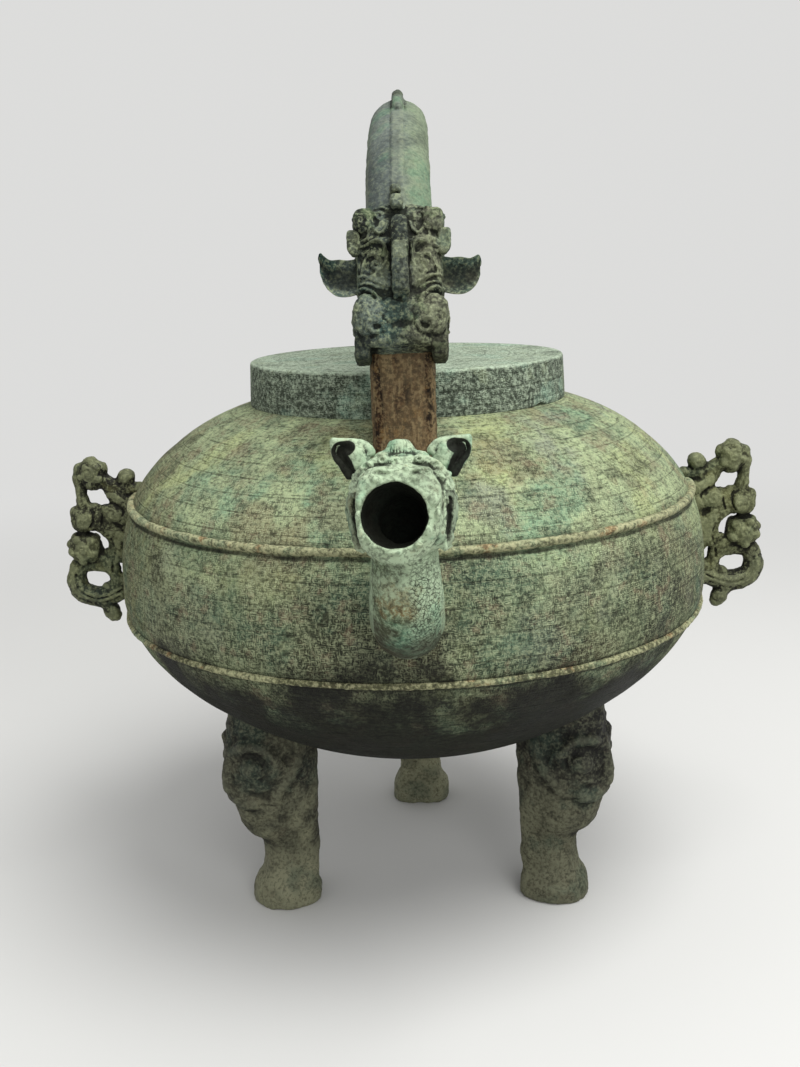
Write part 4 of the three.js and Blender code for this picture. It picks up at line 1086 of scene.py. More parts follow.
def make_head():
    """The dragon's head that bites the post: blended blobs and bars, then its drawn relief."""
    clay = Clay((-18, -23, -33), (18, 14, 31), 0.33)
    clay.blob((0, 0.4, 2), (14.1, 9.6, 22), 3.2)
    clay.blob((0, -2.0, -16.5), (14.6, 11.0, 9.2), 3.2, 2.0)
    for s in (-1, 1):
        clay.blob((s * 10.0, -9.6, -14.8), (5.4, 4.6, 6.8), 2.3, 1.6)
        clay.blob((s * 12.4, -2.6, -21.0), (2.5, 7.0, 7.4), 6.0, 0.8)
        clay.limb([[s * 3.4, -9.0, 9.2, 1.0], [s * 8, -8.6, 9.8, 1.2], [s * 12.6, -6.4, 8.8, 1.3]], 1.6)
        clay.blob((s * 11.0, -4.8, 17.0), (3.6, 4.4, 4.2), 3.2, 1.0)
        clay.blob((s * 8.4, -10.8, 3.0), (5.2, 2.2, 4.8), 2.2, 0.9, carve=True)
        clay.blob((s * 12.6, -9.6, 6.0), (2.0, 1.6, 1.0), 2.0, 0.8, carve=True)
        clay.blob((s * 3.6, -10.4, 14.2), (1.2, 1.8, 4.2), 2.0, 0.7, carve=True)
        clay.blob((s * 7.4, -14.4, -19.4), (1.5, 2.2, 1.2), 2.0, 0.7, carve=True)
    clay.blob((0, -14.4, -18.6), (5.4, 2.4, 2.0), 2.0, 1.2, carve=True)
    lip = [[-12.6, -8.0, -23.4, 0.9], [-9.4, -10.0, -23.8, 1.1], [0, -10.6, -22.6, 1.1],
           [9.4, -10.0, -23.8, 1.1], [12.6, -8.0, -23.4, 0.9]]
    clay.limb(lip, 2.2)
    crest = [[0.4, -9.8, 14.6, 3.2], [0.4, -12.6, 11.8, 4.2], [0.4, -13.6, 7, 4.2],
             [0.4, -14.0, 1, 4.2], [0.4, -13.8, -4, 4.0], [0.4, -12.4, -7.0, 3.2]]
    clay.limb(crest, 0.4, slab=(0.4, 2.5))
    clay.blob((0.4, -16.2, 4.0), (2.5, 2.4, 3.2), 4.0, 0.4)
    clay.blob((0.3, -14.2, -7.2), (2.5, 2.6, 1.4), 4.0, 0.4)
    clay.blob((-1.2, -11.6, -9.6), (1.0, 2.0, 0.9), 2.6, 0.4)
    clay.blob((1.4, -11.2, -10.4), (1.2, 2.0, 1.0), 2.6, 0.4)
    clay.blob((-0.2, -8.6, 22.4), (2.1, 2.6, 2.4), 4.0, 0.3)
    clay.blob((-0.6, -7.0, 27.2), (1.9, 2.4, 1.5), 3.0, 0.3)
    clay.blob((-0.4, -10.4, 18.4), (2.6, 2.2, 1.3), 3.0, 0.4, carve=True)
    clay.relief(head_strokes(), ["-y"], 64)
    flank = [
        coil((-2.0, -15.5), 5.0, 1.4, 1.1, 90, 0.9, 1.0),
        [[-8, 6, 0.8, 0.8], [-3, 8.0, 0.9, 1.0], [3, 6.4, 0.8, 0.9], [7, 8.6, 0.8, 0.7]],
        [[-6, -6, 0.8, 0.8], [0, -5, 0.9, 0.9], [6, -7, 0.8, 0.7]],
        [[-5, 18, 0.8, 0.8], [-1, 20, 0.9, 0.9], [4, 18, 0.8, 0.9], [7, 14, 0.8, 0.7]],
        [[-3, 12.6, 0.8, 0.8], [2, 14, 0.9, 0.9], [6, 11, 0.8, 0.7]],
        [[-7, -10, 0.7, 0.7], [-1, -9, 0.8, 0.8], [5, -11, 0.7, 0.7]],
    ]
    clay.relief(flank, ["x", "-x"], 66)
    erode(clay, 67, 1.15)
    points, faces, worn_and_shaded = clay.skin()
    x, front, level = points.T
    aside = np.abs(x)
    worn_and_shaded = milder(worn_and_shaded, 0.85)
    worn_and_shaded = np.where((aside > 9.5) & (level < -21.5), np.minimum(worn_and_shaded, 0.2), worn_and_shaded)
    worn_and_shaded = np.where((aside < 3.4) & (front < -12.2), np.minimum(worn_and_shaded, 0.26), worn_and_shaded)
    worn_and_shaded = np.where((aside > 7.4) & (level > 13.6), np.minimum(worn_and_shaded, 0.45), worn_and_shaded)
    chip = np.hypot(x + 13.6, level + 12.8) < 1.5
    patch = (np.abs(x - 0.4) < 2.2) & (np.abs(level - 4.0) < 2.9) & (front < -16)
    worn_and_shaded = np.where(chip & (front < -4) | patch, 1.0, worn_and_shaded)
    make_piece("dragon_head", "dragon_patina", on_handle(points), faces, worn_and_shaded, ["handle_head"])
    for s, word in ((-1, "left"), (1, "right")):
        make_ear(s, word)
        make_horn(s, word)


EAR_OUTLINE = np.array([
    # share of the length, lower edge, upper edge
    [0.00, -5.0, 5.0],
    [0.15, -6.6, 4.9],
    [0.27, -7.5, 4.6],
    [0.45, -8.1, 4.2],
    [0.62, -7.9, 4.0],
    [0.76, -6.8, 4.3],
    [0.87, -5.0, 5.1],
    [0.95, -2.8, 5.7],
    [1.00, -0.4, 5.2],
])

EAR_TIPS = {-1: 1.8, 1: -0.8}  # how far the tips of the left and the right ear go up


def make_ear(side_sign, word):
    """A leaf from a root to a point at its upper outer corner.

    Rows go out along it between its two edges, columns go round its thin section, and its rim
    curls forward round a hollow by rim * |s|^p, with s from -1 at the lower edge to 1 at the upper.
    """
    rows, columns = 64, 48
    outline = curve(EAR_OUTLINE, 12)
    t = np.linspace(0, 1, rows)[:, None] ** 0.85
    t[-1] = 0.995
    around = np.linspace(0, 2 * np.pi, columns, endpoint=False)[None, :]
    s, back = np.cos(around), np.sin(around)
    bottom, top = (np.interp(t, outline[:, 0], outline[:, k]) for k in (1, 2))
    middle, half = (top + bottom) / 2, (top - bottom) / 2
    swell = np.clip(4 * t * (1.12 - t), 0, 1)
    thick = (0.6 + 0.9 * (1 - t)) * np.sqrt(np.clip(1 - s**4, 0.0, 1)) * np.sign(back)
    cup = 1.5 * swell - 2.6 * (swell + 0.15) * np.abs(s) ** 2.6
    x = side_sign * (11.0 + 15.2 * t + 0.5 * np.sin(3 * s) * t + 0 * s)
    y = -0.6 + cup + thick - 1.6 * np.sin(np.pi * t)
    z = 1.1 + EAR_TIPS[side_sign] * t**4 + middle + half * s + 0.25 * np.sin(14 * t) * (s > 0)
    points = np.stack([x, y, z], -1).reshape(-1, 3)
    points += 0.12 * lumps(points[:, 0], points[:, 1], points[:, 2], 2.6, 68)[:, None]
    low, high = points[:columns].mean(0), points[-columns:].mean(0)
    ends = fans(columns, rows - 1, len(points), len(points) + 1)
    points = np.concatenate([points, low[None], high[None]])
    faces = [tube_faces(rows, columns, False), ends]
    worn_and_shaded = np.clip(0.12 + 0.85 * np.abs(s) ** 4 + (back > 0) * 0.35 + 0 * t, 0, 1).ravel()
    worn_and_shaded = np.concatenate([worn_and_shaded, [0.5, 0.9]])
    replaced = ["handle_ear_" + word]
    make_piece("dragon_ear_" + word, "dragon_patina", on_handle(points), faces, worn_and_shaded, replaced)


def make_horn(side_sign, word):
    """A short squarish tab that stands out beside the brow, with a hollow face."""
    clay = Clay((7, -12, 0), (20, 3, 19), 0.26)
    clay.limb([[11.4, -5.0, 8.4, 2.2], [13.6, -5.0, 8.6, 1.8]], 0.6)
    clay.blob((14.6, -5.2, 10.2), (2.1, 2.1, 4.2), 5.0, 0.6)
    clay.blob((17.6, -5.2, 5.4), (2.4, 4.0, 2.4), 2.0, 0.6, carve=True)
    clay.blob((14.7, -7.5, 10.8), (1.1, 0.5, 2.6), 3.0, 0.3, carve=True)
    erode(clay, 69, 0.8)
    points, faces, worn_and_shaded = clay.skin()
    points[:, 0] *= side_sign
    replaced = ["handle_horn_" + word]
    make_piece("dragon_horn_" + word, "dragon_patina", on_handle(points), faces, worn_and_shaded, replaced)


# Spout

SPOUT_LINE = np.array([[0, -110.9, 142], [0, -149, 142], [0, -119, 178], [0, -154, 183]], float)
SPOUT_TILT = 15.0
BORE = 6.8


def spout_at(share):
    """A place on the spout's cubic line."""
    t = np.atleast_1d(share)[:, None]
    a, b, c, d = SPOUT_LINE
    return (1 - t) ** 3 * a + 3 * (1 - t) ** 2 * t * b + 3 * (1 - t) * t**2 * c + t**3 * d


def make_neck():
    """The spout's swelling neck round its bore, from inside the vessel to the beast's head."""
    clay = Clay((-15, -152, 124), (15, -97, 196), 0.42)
    share = np.linspace(0, 0.86, 16)
    radii = np.interp(share, [0, 0.16, 0.34, 0.55, 0.86], [10.6, 11.6, 11.3, 10.1, 9.3])
    clay.limb(np.column_stack([spout_at(share), radii]), 0.5, between=6)
    clay.blob((0, -118, 138), (9.5, 9.0, 8.0), 2.0, 4.0)
    end = spout_at([0.72, 0.74])
    way = (end[1] - end[0]) / np.linalg.norm(end[1] - end[0])
    x, y, z = clay.everywhere()
    beyond = (y - end[0][1]) * way[1] + (z - end[0][2]) * way[2]
    clay.field = np.maximum(clay.field, beyond + 0 * x).astype(np.float32)
    inner = np.linspace(-0.02, 0.95, 16)
    clay.limb(np.column_stack([spout_at(inner), np.full(16, BORE)]), 0.4, carve=True, between=5)
    erode(clay, 71, 0.9)
    points, faces, worn_and_shaded = clay.skin()
    # Painted shade: the wear map is nought within reach of the bore.
    worn_and_shaded = darkened(points, worn_and_shaded, spout_at(np.linspace(0, 1, 40)), BORE + 1.2)
    make_piece("neck", "spout_patina", points, faces, worn_and_shaded, ["spout_neck"])


def spout_strokes():
    """Front drawing of the beast's head, right half: [x, z, half width, height] rows."""
    tuft = [[[a, 16.6, 0.32, -0.5], [a * 0.8, 22.4, 0.32, -0.45]] for a in (0.5, 1.5, 2.5, 3.5)]
    strokes = [
        coil((1.9, 15.2), 1.3, 0.5, 1.1, 0, 0.5, 1.0, 10),
        coil((5.3, 15.9), 1.6, 0.5, 1.2, 60, 0.55, 1.1, 12),
        coil((9.6, 13.8), 2.2, 0.7, 1.3, 200, 0.6, 1.1, 14),
        [[1.0, 12.8, 0.6, 0.9], [3.6, 12.2, 0.6, 0.9], [6.6, 12.8, 0.6, 0.9], [8.2, 11.4, 0.6, 0.7]],
        [[10.0, 10.8, 0.6, 0.8], [12.2, 10.2, 0.6, 0.9], [13.8, 7.4, 0.6, 0.8]],
        [[12.8, 4.4, 0.6, 0.6], [14.0, 0.4, 0.7, 0.7], [13.4, -4.6, 0.6, 0.6]],
        *tuft,
    ]
    return mirrored(strokes)


def make_spout_head():
    """The beast's head that pours, with its ears: blended forms, drawn relief and the bore."""
    clay = Clay((-20, -6, -20), (20, 30, 27), 0.38)
    clay.blob((-0.2, 13.4, 2.0), (15.5, 12.4, 12.8), 2.9)
    clay.blob((-0.9, 2.4, 2.2), (12.0, 4.8, 10.4), 3.8, 1.0)
    clay.blob((-1.5, 2.4, -4.2), (11.0, 4.6, 9.5), 2.1, 1.2)
    beads = (
        (-11.3, 4.1, 1.4, 1.9), (-11.2, -4.7, 1.3, 2.3), (8.8, 3.9, 1.5, 1.9), (7.0, -4.4, 1.3, 1.7),
        (-6.8, 9.8, 1.4, 1.0), (4.0, 9.8, 1.3, 1.0), (-2.6, -10.4, 2.6, 0.8), (-8.0, -8.4, 1.4, 1.1),
        (4.4, -8.6, 1.4, 1.1), (-11.9, 0.0, 0.9, 1.6), (10.0, 0.0, 0.9, 1.6),
    )
    for x, z, wide, high in beads:
        clay.blob((x, -1.7, z), (wide, 1.7, high), 2.0, 0.7)
    clay.blob((-0.6, 3.6, 11.6), (9.6, 4.6, 2.8), 2.2, 1.6)
    clay.blob((0, 11.5, 14.6), (8.6, 8.0, 3.4), 2.0, 1.6)
    clay.blob((-0.6, 12.5, 17.2), (5.2, 2.6, 2.8), 3.0, 1.2)
    clay.blob((-0.4, 12.5, 19.6), (3.6, 2.4, 2.8), 3.0, 1.2)
    for s in (-1, 1):
        clay.limb([[s * 2.4, 6.0, 14.6, 1.3], [s * 6.6, 5.6, 15.2, 1.7], [s * 11.0, 6.6, 12.6, 1.7],
                   [s * 13.6, 9.0, 8.6, 1.5]], 0.9)
        clay.blob((s * 9.8, 4.4, 10.4), (2.3, 2.2, 2.0), 2.0, 0.6)
        clay.blob((s * 5.6, 10.5, 16.8), (2.4, 2.4, 1.8), 2.0, 1.6)
        clay.limb([[s * 12.8, 9.4, 7.4, 1.8], [s * 13.8, 8.6, 4.4, 1.6]], 1.0)
        clay.limb([[s * 12.8, 9.0, -6.4, 1.8], [s * 11.6, 8.2, -9.0, 1.2]], 1.0)
        cheek = [[s * 13.2, 5.6, 4.0, 1.3], [s * 13.8, 6.0, -1, 1.7], [s * 13.0, 5.6, -6, 1.3]]
        clay.limb(cheek, 0.6, carve=True)
    clay.relief(spout_strokes(), ["-y"], 74, 1.2)
    flank = [
        coil((17, 2), 4.6, 1.2, 1.2, 120, 0.9, 0.8),
        [[9, -9, 0.8, 0.7], [15, -8, 0.8, 0.8], [21, -5, 0.8, 0.7]],
        [[8, 12, 0.8, 0.7], [14, 10.5, 0.8, 0.8], [21, 11, 0.8, 0.7]],
    ]
    clay.relief(flank, ["x", "-x"], 76)
    share = np.linspace(0.55, 1, 10)
    line = turned_x(spout_at(share) - SPOUT_LINE[3], SPOUT_TILT, 0)
    radii = np.interp(share, [0.55, 0.8, 1], [BORE, BORE + 0.1, 7.0])
    clay.limb(np.column_stack([line, radii]), 0.4, carve=True, between=5)
    clay.limb([[-2.1, -8, -0.2, 9.3], [-1.9, 2.4, -0.2, 9.1], [-0.4, 10, -0.8, 6.6]], 0.4, carve=True)
    erode(clay, 77, 0.85)
    points, faces, worn_and_shaded = clay.skin()
    worn_and_shaded = milder(worn_and_shaded, 0.75)
    x, y, z = points.T
    # Painted shade: the wear map is nought in the mouth and within reach of the bore, and lowered on the
    # recessed cheeks.
    mouth = (np.hypot(x + 2.0, z + 0.2) < 9.9) & (y > -0.2) & (y < 22)
    bore = curve(line, 4)[:, :3]
    worn_and_shaded = darkened(points, np.where(mouth, 0, worn_and_shaded), bore[bore[:, 1] > 4.5], BORE + 2.4)
    cheeks = (np.abs(x) > 12.2) & (np.abs(z + 1) < 8) & (y > 2.6)
    worn_and_shaded = np.where(cheeks, worn_and_shaded * 0.3, worn_and_shaded)
    points = turned_x(points, -SPOUT_TILT, SPOUT_LINE[3])
    make_piece("spout_beast", "spout_patina", points, faces, worn_and_shaded, ["spout_head"])
    for s, word in ((-1, "left"), (1, "right")):
        make_spout_ear(s, word)


def make_spout_ear(side_sign, word):
    """An open cup that flares up and out from beside the crown, and gapes to the front and side."""
    clay = Clay((4, 1, 7), (25, 18, 29), 0.3)
    root = [[11.0, 11.6, 12.6, 2.4], [12.0, 11.2, 15.6, 3.4], [13.0, 10.9, 18.2, 3.6]]
    upper = [[9.0, 10.8, 18.8, 1.7], [10.4, 10.4, 20.6, 1.4], [13.4, 9.8, 21.4, 1.2],
             [16.4, 9.2, 21.7, 1.0], [19.0, 9.0, 22.0, 1.0]]
    outer = [[19.0, 9.0, 22.0, 0.9], [19.2, 9.4, 18.4, 0.9], [17.2, 9.8, 15.2, 1.0],
             [15.0, 10.4, 12.2, 1.4]]
    hollow = [[15.0, 7.4, 19.8, 1.5], [17.5, 7.6, 19.4, 2.0], [17.5, 7.4, 17.4, 1.8],
              [16.1, 7.4, 15.4, 1.3], [15.2, 7.8, 12.8, 0.7]]
    clay.limb(root, 0.4, between=7)
    clay.blob((14.8, 12.0, 18.0), (4.4, 1.9, 4.0), 2.4, 1.0)
    clay.limb(upper, 0.8, between=7)
    clay.limb(outer, 0.6, between=7)
    clay.limb(hollow, 0.4, carve=True, between=7)
    erode(clay, 78, 0.7)
    points, faces, worn_and_shaded = clay.skin()
    # Painted shade: the wear map is nought inside the ear's cup.
    worn_and_shaded = darkened(points, worn_and_shaded, curve(np.array(hollow)[:, :3], 8) + [0, 0.9, 0], 2.0)
    points[:, 0] *= side_sign
    points = turned_x(points, -SPOUT_TILT, SPOUT_LINE[3])
    node = "spout_ear_" + word
    make_piece(node + "_leaf", "spout_patina", points, faces, worn_and_shaded, [node])


# Legs, drawn with X out from the vessel's axis

LEGS = {"leg_left": 210, "leg_right": 330, "leg_rear": 90}
LEG_STATIONS = np.array([
    # height, middle, half depth, half width
    [0.0, 63.0, 11.9, 12.2],
    [1.4, 63.1, 12.6, 13.0],
    [6.5, 63.0, 12.4, 12.8],
    [10.5, 62.2, 11.3, 11.2],
    [14.5, 60.6, 10.8, 9.6],
    [23.0, 60.2, 10.8, 9.0],
    [28.0, 61.0, 11.8, 9.6],
    [33.5, 64.0, 14.6, 11.0],
    [45.0, 65.6, 16.4, 12.4],
    [57.0, 66.6, 17.6, 13.0],
    [72.0, 66.0, 17.2, 12.8],
    [99.0, 65.0, 15.6, 12.0],
])


def make_legs():
    """A beast's mask over a shank and a paw: a stack of rounded sections, then drawn relief."""
    clay = Clay((46, -18, -2), (90, 18, 88), 0.5)
    x, y, z = clay.everywhere()
    smooth = curve(LEG_STATIONS, 8)
    middle, depth, width = (np.interp(clay.axes[2], smooth[:, 0], smooth[:, k]) for k in (1, 2, 3))
    power = np.where(x < middle, 3.6, 2.1)
    distance = oval(np.abs(y) / width, np.abs(x - middle) / depth, width, depth, power)
    clay.field = np.maximum(distance, -z).astype(np.float32)
    shoulder = np.hypot(x, y) / belly()
    under = WIDEST - BELLY_DROP * np.clip(1 - shoulder**BELLY_POWER, 0, 1) ** (1 / BELLY_POWER)
    clay.field = np.maximum(clay.field, z - under - 1.2).astype(np.float32)
    for s in (-1, 1):
        clay.limb([[82.4, s * 1.8, 67, 1.9], [81.4, s * 7, 70.6, 2.0], [75.6, s * 11.0, 70.0, 1.9],
                   [70, s * 12.2, 64, 1.7]], 2.6)
        clay.blob((78.0, s * 9.6, 62.0), (4.6, 3.4, 4.6), 2.0, 2.2)
        clay.limb([[70, s * 11.6, 50, 2.2], [63.4, s * 12.0, 58, 2.4], [58.4, s * 11.2, 67, 2.2]], 1.8)
    clay.limb([[82.6, 0, 69, 2.1], [84.0, 0, 60, 2.4], [83.6, 0, 52.4, 3.4]], 1.6)
    clay.limb([[77.6, -8, 47.6, 3.2], [80.6, 0, 48.6, 4.0], [77.6, 8, 47.6, 3.2]], 1.8)
    front = [
        coil((6.4, 60.5), 3.2, 1.0, 1.1, 90, 0.8, 0.7),
        [[1.5, 44.5, 0.7, -0.6], [6, 43.4, 0.7, -0.6], [11, 45.6, 0.7, -0.5]],
        [[2, 74, 0.8, 0.7], [5.6, 77, 0.8, 0.7], [10, 76, 0.8, 0.6]],
        [[3, 54, 0.7, 0.6], [7, 53, 0.7, 0.7], [11, 55, 0.7, 0.6]],
        [[3.6, 0.4, 0.7, -0.9], [3.2, 4.0, 0.7, -0.8], [2.6, 8.0, 0.6, -0.5]],
        [[9.0, 0.4, 0.7, -0.9], [8.6, 3.4, 0.6, -0.6]],
    ]
    clay.relief(mirrored(front), ["x"], 83)
    flank = [
        coil((77.8, 62.2), 4.0, 1.2, 1.35, 150, 0.8, 0.55),
        [[81, 54.4, 0.8, 0.6], [76, 52.8, 0.8, 0.8], [70, 53.8, 0.8, 0.8], [64, 50.8, 0.8, 0.6]],
        [[80, 47.6, 0.7, -0.6], [73.6, 46.2, 0.8, -0.8], [67, 44.6, 0.7, -0.6]],
        [[76, 41.8, 0.8, 0.6], [69.6, 42.2, 0.8, 0.8], [62, 38.8, 0.8, 0.6]],
        coil((61, 57), 4.2, 1.4, 1.1, 20, 0.8, 0.7),
        [[74, 70.6, 0.8, 0.7], [66, 73.0, 0.8, 0.8], [58, 70.0, 0.8, 0.6]],
        [[54, 46, 0.8, 0.6], [58.6, 49, 0.8, 0.7], [56.0, 64, 0.7, 0.5]],
        [[69, 66, 0.7, 0.6], [66, 60, 0.7, 0.7], [69, 57, 0.7, 0.6]],
        [[57, 76, 0.7, 0.5], [64, 78, 0.7, 0.6], [72, 76.4, 0.7, 0.6]],
        [[50, 36, 0.7, 0.4], [58, 33.6, 0.7, 0.5], [66, 36, 0.7, 0.4]],
        [[70.6, 0.4, 0.7, -0.9], [69.6, 3.6, 0.6, -0.7], [68.0, 7.0, 0.5, -0.4]],
    ]
    clay.relief(flank, ["y", "-y"], 85, 0.8)
    clay.field += 0.5 * lumps(x, y, z, 11, 81)
    erode(clay, 86, 0.9)
    points, faces, worn_and_shaded = clay.skin()
    points[:, 2] = np.maximum(points[:, 2], 0)
    worn_and_shaded = np.maximum(milder(worn_and_shaded, 0.8), 0.36 * (points[:, 2] < 26))
    for name, degrees in LEGS.items():
        make_piece(name + "_cast", "leg_patina", turned_z(points, degrees), faces, worn_and_shaded, [name])


# Fins, drawn with X out from the vessel's axis

FINS = {"fin_right": 0, "fin_left": 180, "fin_rear": 90}
FIN_FOOT = 110.5
# out from the widest circle, up from the foot, half thickness
FIN_BARS = [
    [[17.2, 55.5, 2.6], [17.4, 51.0, 2.3], [16.6, 46.5, 2.9]],
    [[11.5, 57.6, 3.8], [7.4, 56.2, 3.2], [3.6, 54.2, 3.0], [-1.5, 53.0, 2.8], [-6, 53.4, 2.4]],
    [[5.6, 53.6, 2.8], [3.4, 50.2, 3.8], [0.4, 47.4, 4.4], [-5, 46.4, 4.2]],
    [[17.0, 41.0, 5.0], [11.4, 41.6, 4.0], [6.0, 43.0, 4.6], [0.6, 42.2, 5.0], [-5, 42, 5.2]],
    [[6.0, 38.6, 4.2], [4.8, 34.0, 4.0], [4.2, 29.6, 3.8], [5.2, 25.2, 3.4], [6.6, 21.6, 3.0],
     [6.2, 17.4, 2.8], [5.4, 12.4, 3.6]],
    [[4.0, 35.0, 4.0], [-0.4, 34.0, 4.4], [-5, 34, 4.4]],
    [[4.0, 27.4, 3.4], [0, 27.0, 3.8], [-5, 27, 4.0]],
    [[0.8, 24.0, 2.6], [-1.8, 18.0, 2.8], [-3, 13, 3]],
    [[17.3, 29.1, 5.0], [12.4, 25.4, 3.2], [8.0, 23.4, 3.2]],
    [[15.2, 22.4, 3.0], [20.0, 21.6, 3.4], [22.4, 16.6, 3.9], [20.8, 11.0, 4.1], [15.4, 8.6, 4.2],
     [9.6, 8.8, 4.0], [4.6, 10.6, 3.8], [-0.6, 11.4, 3.6], [-5, 11.6, 3.4]],
    [[12.6, 21.8, 2.6], [9.0, 20.6, 2.6]],
    [[11.4, 7.0, 3.6], [9.6, 3.6, 3.0], [8.0, 0.6, 2.8]],
]
# knobs: out, up, radius
FIN_KNOBS = [
    (13.1, 63.6, 2.9), (16.6, 61.0, 3.0), (8.6, 61.8, 2.5), (12.4, 59.4, 5.4), (17.7, 57.6, 2.8),
    (12.6, 55.9, 3.4), (-1.2, 57.6, 3.5), (3.6, 50.6, 3.6), (16.6, 40.8, 5.6), (20.4, 44.0, 2.3),
    (12.6, 45.0, 2.6), (5.4, 43.4, 4.8), (9.8, 38.6, 3.6), (17.4, 29.1, 6.4), (23.0, 31.0, 1.9),
    (23.0, 27.4, 1.8), (21.0, 33.4, 2.0), (16.8, 34.6, 2.6), (7.2, 35.4, 3.2), (3.2, 31.0, 3.2),
    (7.2, 27.6, 2.8), (21.6, 20.8, 3.2), (9.4, 12.2, 2.8), (3.0, 15.2, 2.8), (9.2, 2.4, 3.0),
    (-1.0, 38.0, 3.6), (0.6, 30.6, 3.4),
]
FIN_BEADED = ((12.4, 59.4, 5.4), (17.4, 29.1, 6.4), (9.8, 38.6, 3.6), (3.2, 31.0, 3.2))
# openings: out, up, radius along each one's line
FIN_HOLES = [
    [[12.0, 50.2, 1.8], [9.6, 49.4, 2.2], [7.8, 48.4, 1.6]],
    [[15.0, 35.8, 0.7], [11.8, 34.6, 0.9], [9.6, 32.4, 1.0], [8.8, 29.2, 0.9]],
    [[14.4, 16.0, 1.7], [12.2, 16.3, 2.2], [10.4, 15.9, 1.6]],
    [[4.0, 22.4, 0.8], [2.8, 20.2, 1.1], [2.2, 18.0, 0.8]],
]


def fin_strokes():
    """Side drawing of the openwork: mane lines along the dragons' bodies and curls on their heads."""
    foot, reach = FIN_FOOT, belly()
    lines = [
        [[13, 45.4], [12.2, 42.0], [13.8, 38.4]],
        [[9.4, 46], [8.6, 42.4], [9.8, 38.6]],
        [[1.6, 12.6], [7, 10.0], [13, 8.4], [18.4, 10.0], [21.8, 14.6], [21.6, 18.6]],
        [[4.4, 9.0], [10, 6.8], [15.4, 6.4], [20.4, 8.8]],
        [[17.0, 53.4], [17.2, 50.6], [16.6, 47.6]],
        [[6, 33], [4.8, 28], [6.0, 24], [6.8, 19]],
        [[3.0, 47.6], [0.0, 44.6], [1.6, 40.6]],
        [[1.0, 36.4], [-1.0, 32.6], [1.0, 29.0]],
    ]
    strokes = [[[reach + a, foot + b, 0.6, -0.8] for a, b in line] for line in lines]
    for out, up, size, start in (
        (12.6, 60.0, 2.8, 40), (17.3, 29.1, 4.4, 200), (17.3, 29.1, 2.2, 20), (-1.0, 57.6, 1.9, 90),
        (16.6, 40.8, 3.8, 120), (5.0, 43.2, 3.0, 10), (17.4, 57.2, 1.3, 0), (7.4, 2.6, 1.6, 60),
        (7.4, 34.8, 1.8, 70),
    ):
        strokes.append(coil((reach + out, foot + up), size, 0.6, 1.1, start, 0.6, 0.55, 14))
    return strokes


def make_fins():
    """Two entwined dragons as openwork: bars in the upright plane, blended, with drawn relief."""
    reach = belly()
    clay = Clay((reach - 8, -8, FIN_FOOT - 4), (reach + 31, 8, FIN_FOOT + 74), 0.38)
    for bar in FIN_BARS:
        rows = [[reach + a, 0, FIN_FOOT + b, r] for a, b, r in bar]
        clay.limb(rows, 1.1)
    for out, up, size in FIN_KNOBS:
        half = (size * 1.02, size * 0.9 + 0.5, size * 1.02)
        clay.blob((reach + out, 0, FIN_FOOT + up), half, 2.2, 1.0)
        if (out, up, size) not in FIN_BEADED:
            continue
        for turn in np.arange(5) * 2 * math.pi / 5 + out:
            for s in (-1, 1):
                place = (reach + out + 0.7 * size * math.cos(turn), s * half[1] * 0.66,
                         FIN_FOOT + up + 0.7 * size * math.sin(turn))
                clay.blob(place, (0.3 * size,) * 3, 2.0, 0.3)
    for hole in FIN_HOLES:
        rows = [[reach + a, 0, FIN_FOOT + b, r] for a, b, r in hole]
        clay.limb(rows, 0.9, carve=True, flat=(1, 12, 1))
    x, y, z = clay.everywhere()
    clay.relief(fin_strokes(), ["y", "-y"], 93, sharp=0.8)
    clay.field += 0.2 * lumps(x, y, z, 8, 91)
    erode(clay, 92, 1.15)
    inside = np.hypot(x, y) - side_radius(z) + 1.4
    clay.field = np.maximum(clay.field, -inside).astype(np.float32)
    points, faces, worn_and_shaded = clay.skin()
    worn_and_shaded = milder(worn_and_shaded, 0.9)
    for name, degrees in FINS.items():
        make_piece(name + "_cast", "fin_patina", turned_z(points, degrees), faces, worn_and_shaded, [name])


# Camera, light and floor

CAMERA_PLACE = (0.0080, -0.4832, 0.2562)
CAMERA_PITCH = 13.08  # degrees that it looks down
CAMERA_YAW = -1.48  # degrees that it is turned from +Y towards +X
CAMERA_ROLL = -1.87
FOCAL_PIXELS = 1250
PHOTO_HEIGHT = 1067
MIDDLE = (0, 0, 0.15)  # what the lamps point at
LAMP_SIZE = 0.8
WALL_COLOUR = (0.865, 0.865, 0.86)
FLOOR_COLOUR = (0.77, 0.77, 0.76)


def make_camera():
    """The photograph's camera: its right, up and backward directions are worked out from angles."""
    pitch, yaw, roll = (math.radians(a) for a in (CAMERA_PITCH, CAMERA_YAW, CAMERA_ROLL))
    flat = math.cos(pitch)
    ahead = Vector((math.sin(yaw) * flat, math.cos(yaw) * flat, -math.sin(pitch)))
    level = Vector((math.cos(yaw), -math.sin(yaw), 0))
    above = level.cross(ahead)
    right = level * math.cos(roll) + above * math.sin(roll)
    up = above * math.cos(roll) - level * math.sin(roll)
    data = bpy.data.cameras.new("camera")
    data.sensor_width = 36
    data.lens = FOCAL_PIXELS * data.sensor_width / PHOTO_HEIGHT
    data.clip_start = 0.01
    camera = bpy.data.objects.new("camera", data)
    turned = Matrix((right, up, -ahead)).transposed().to_4x4()
    camera.matrix_world = Matrix.Translation(CAMERA_PLACE) @ turned
    bpy.context.scene.collection.objects.link(camera)
    bpy.context.scene.camera = camera


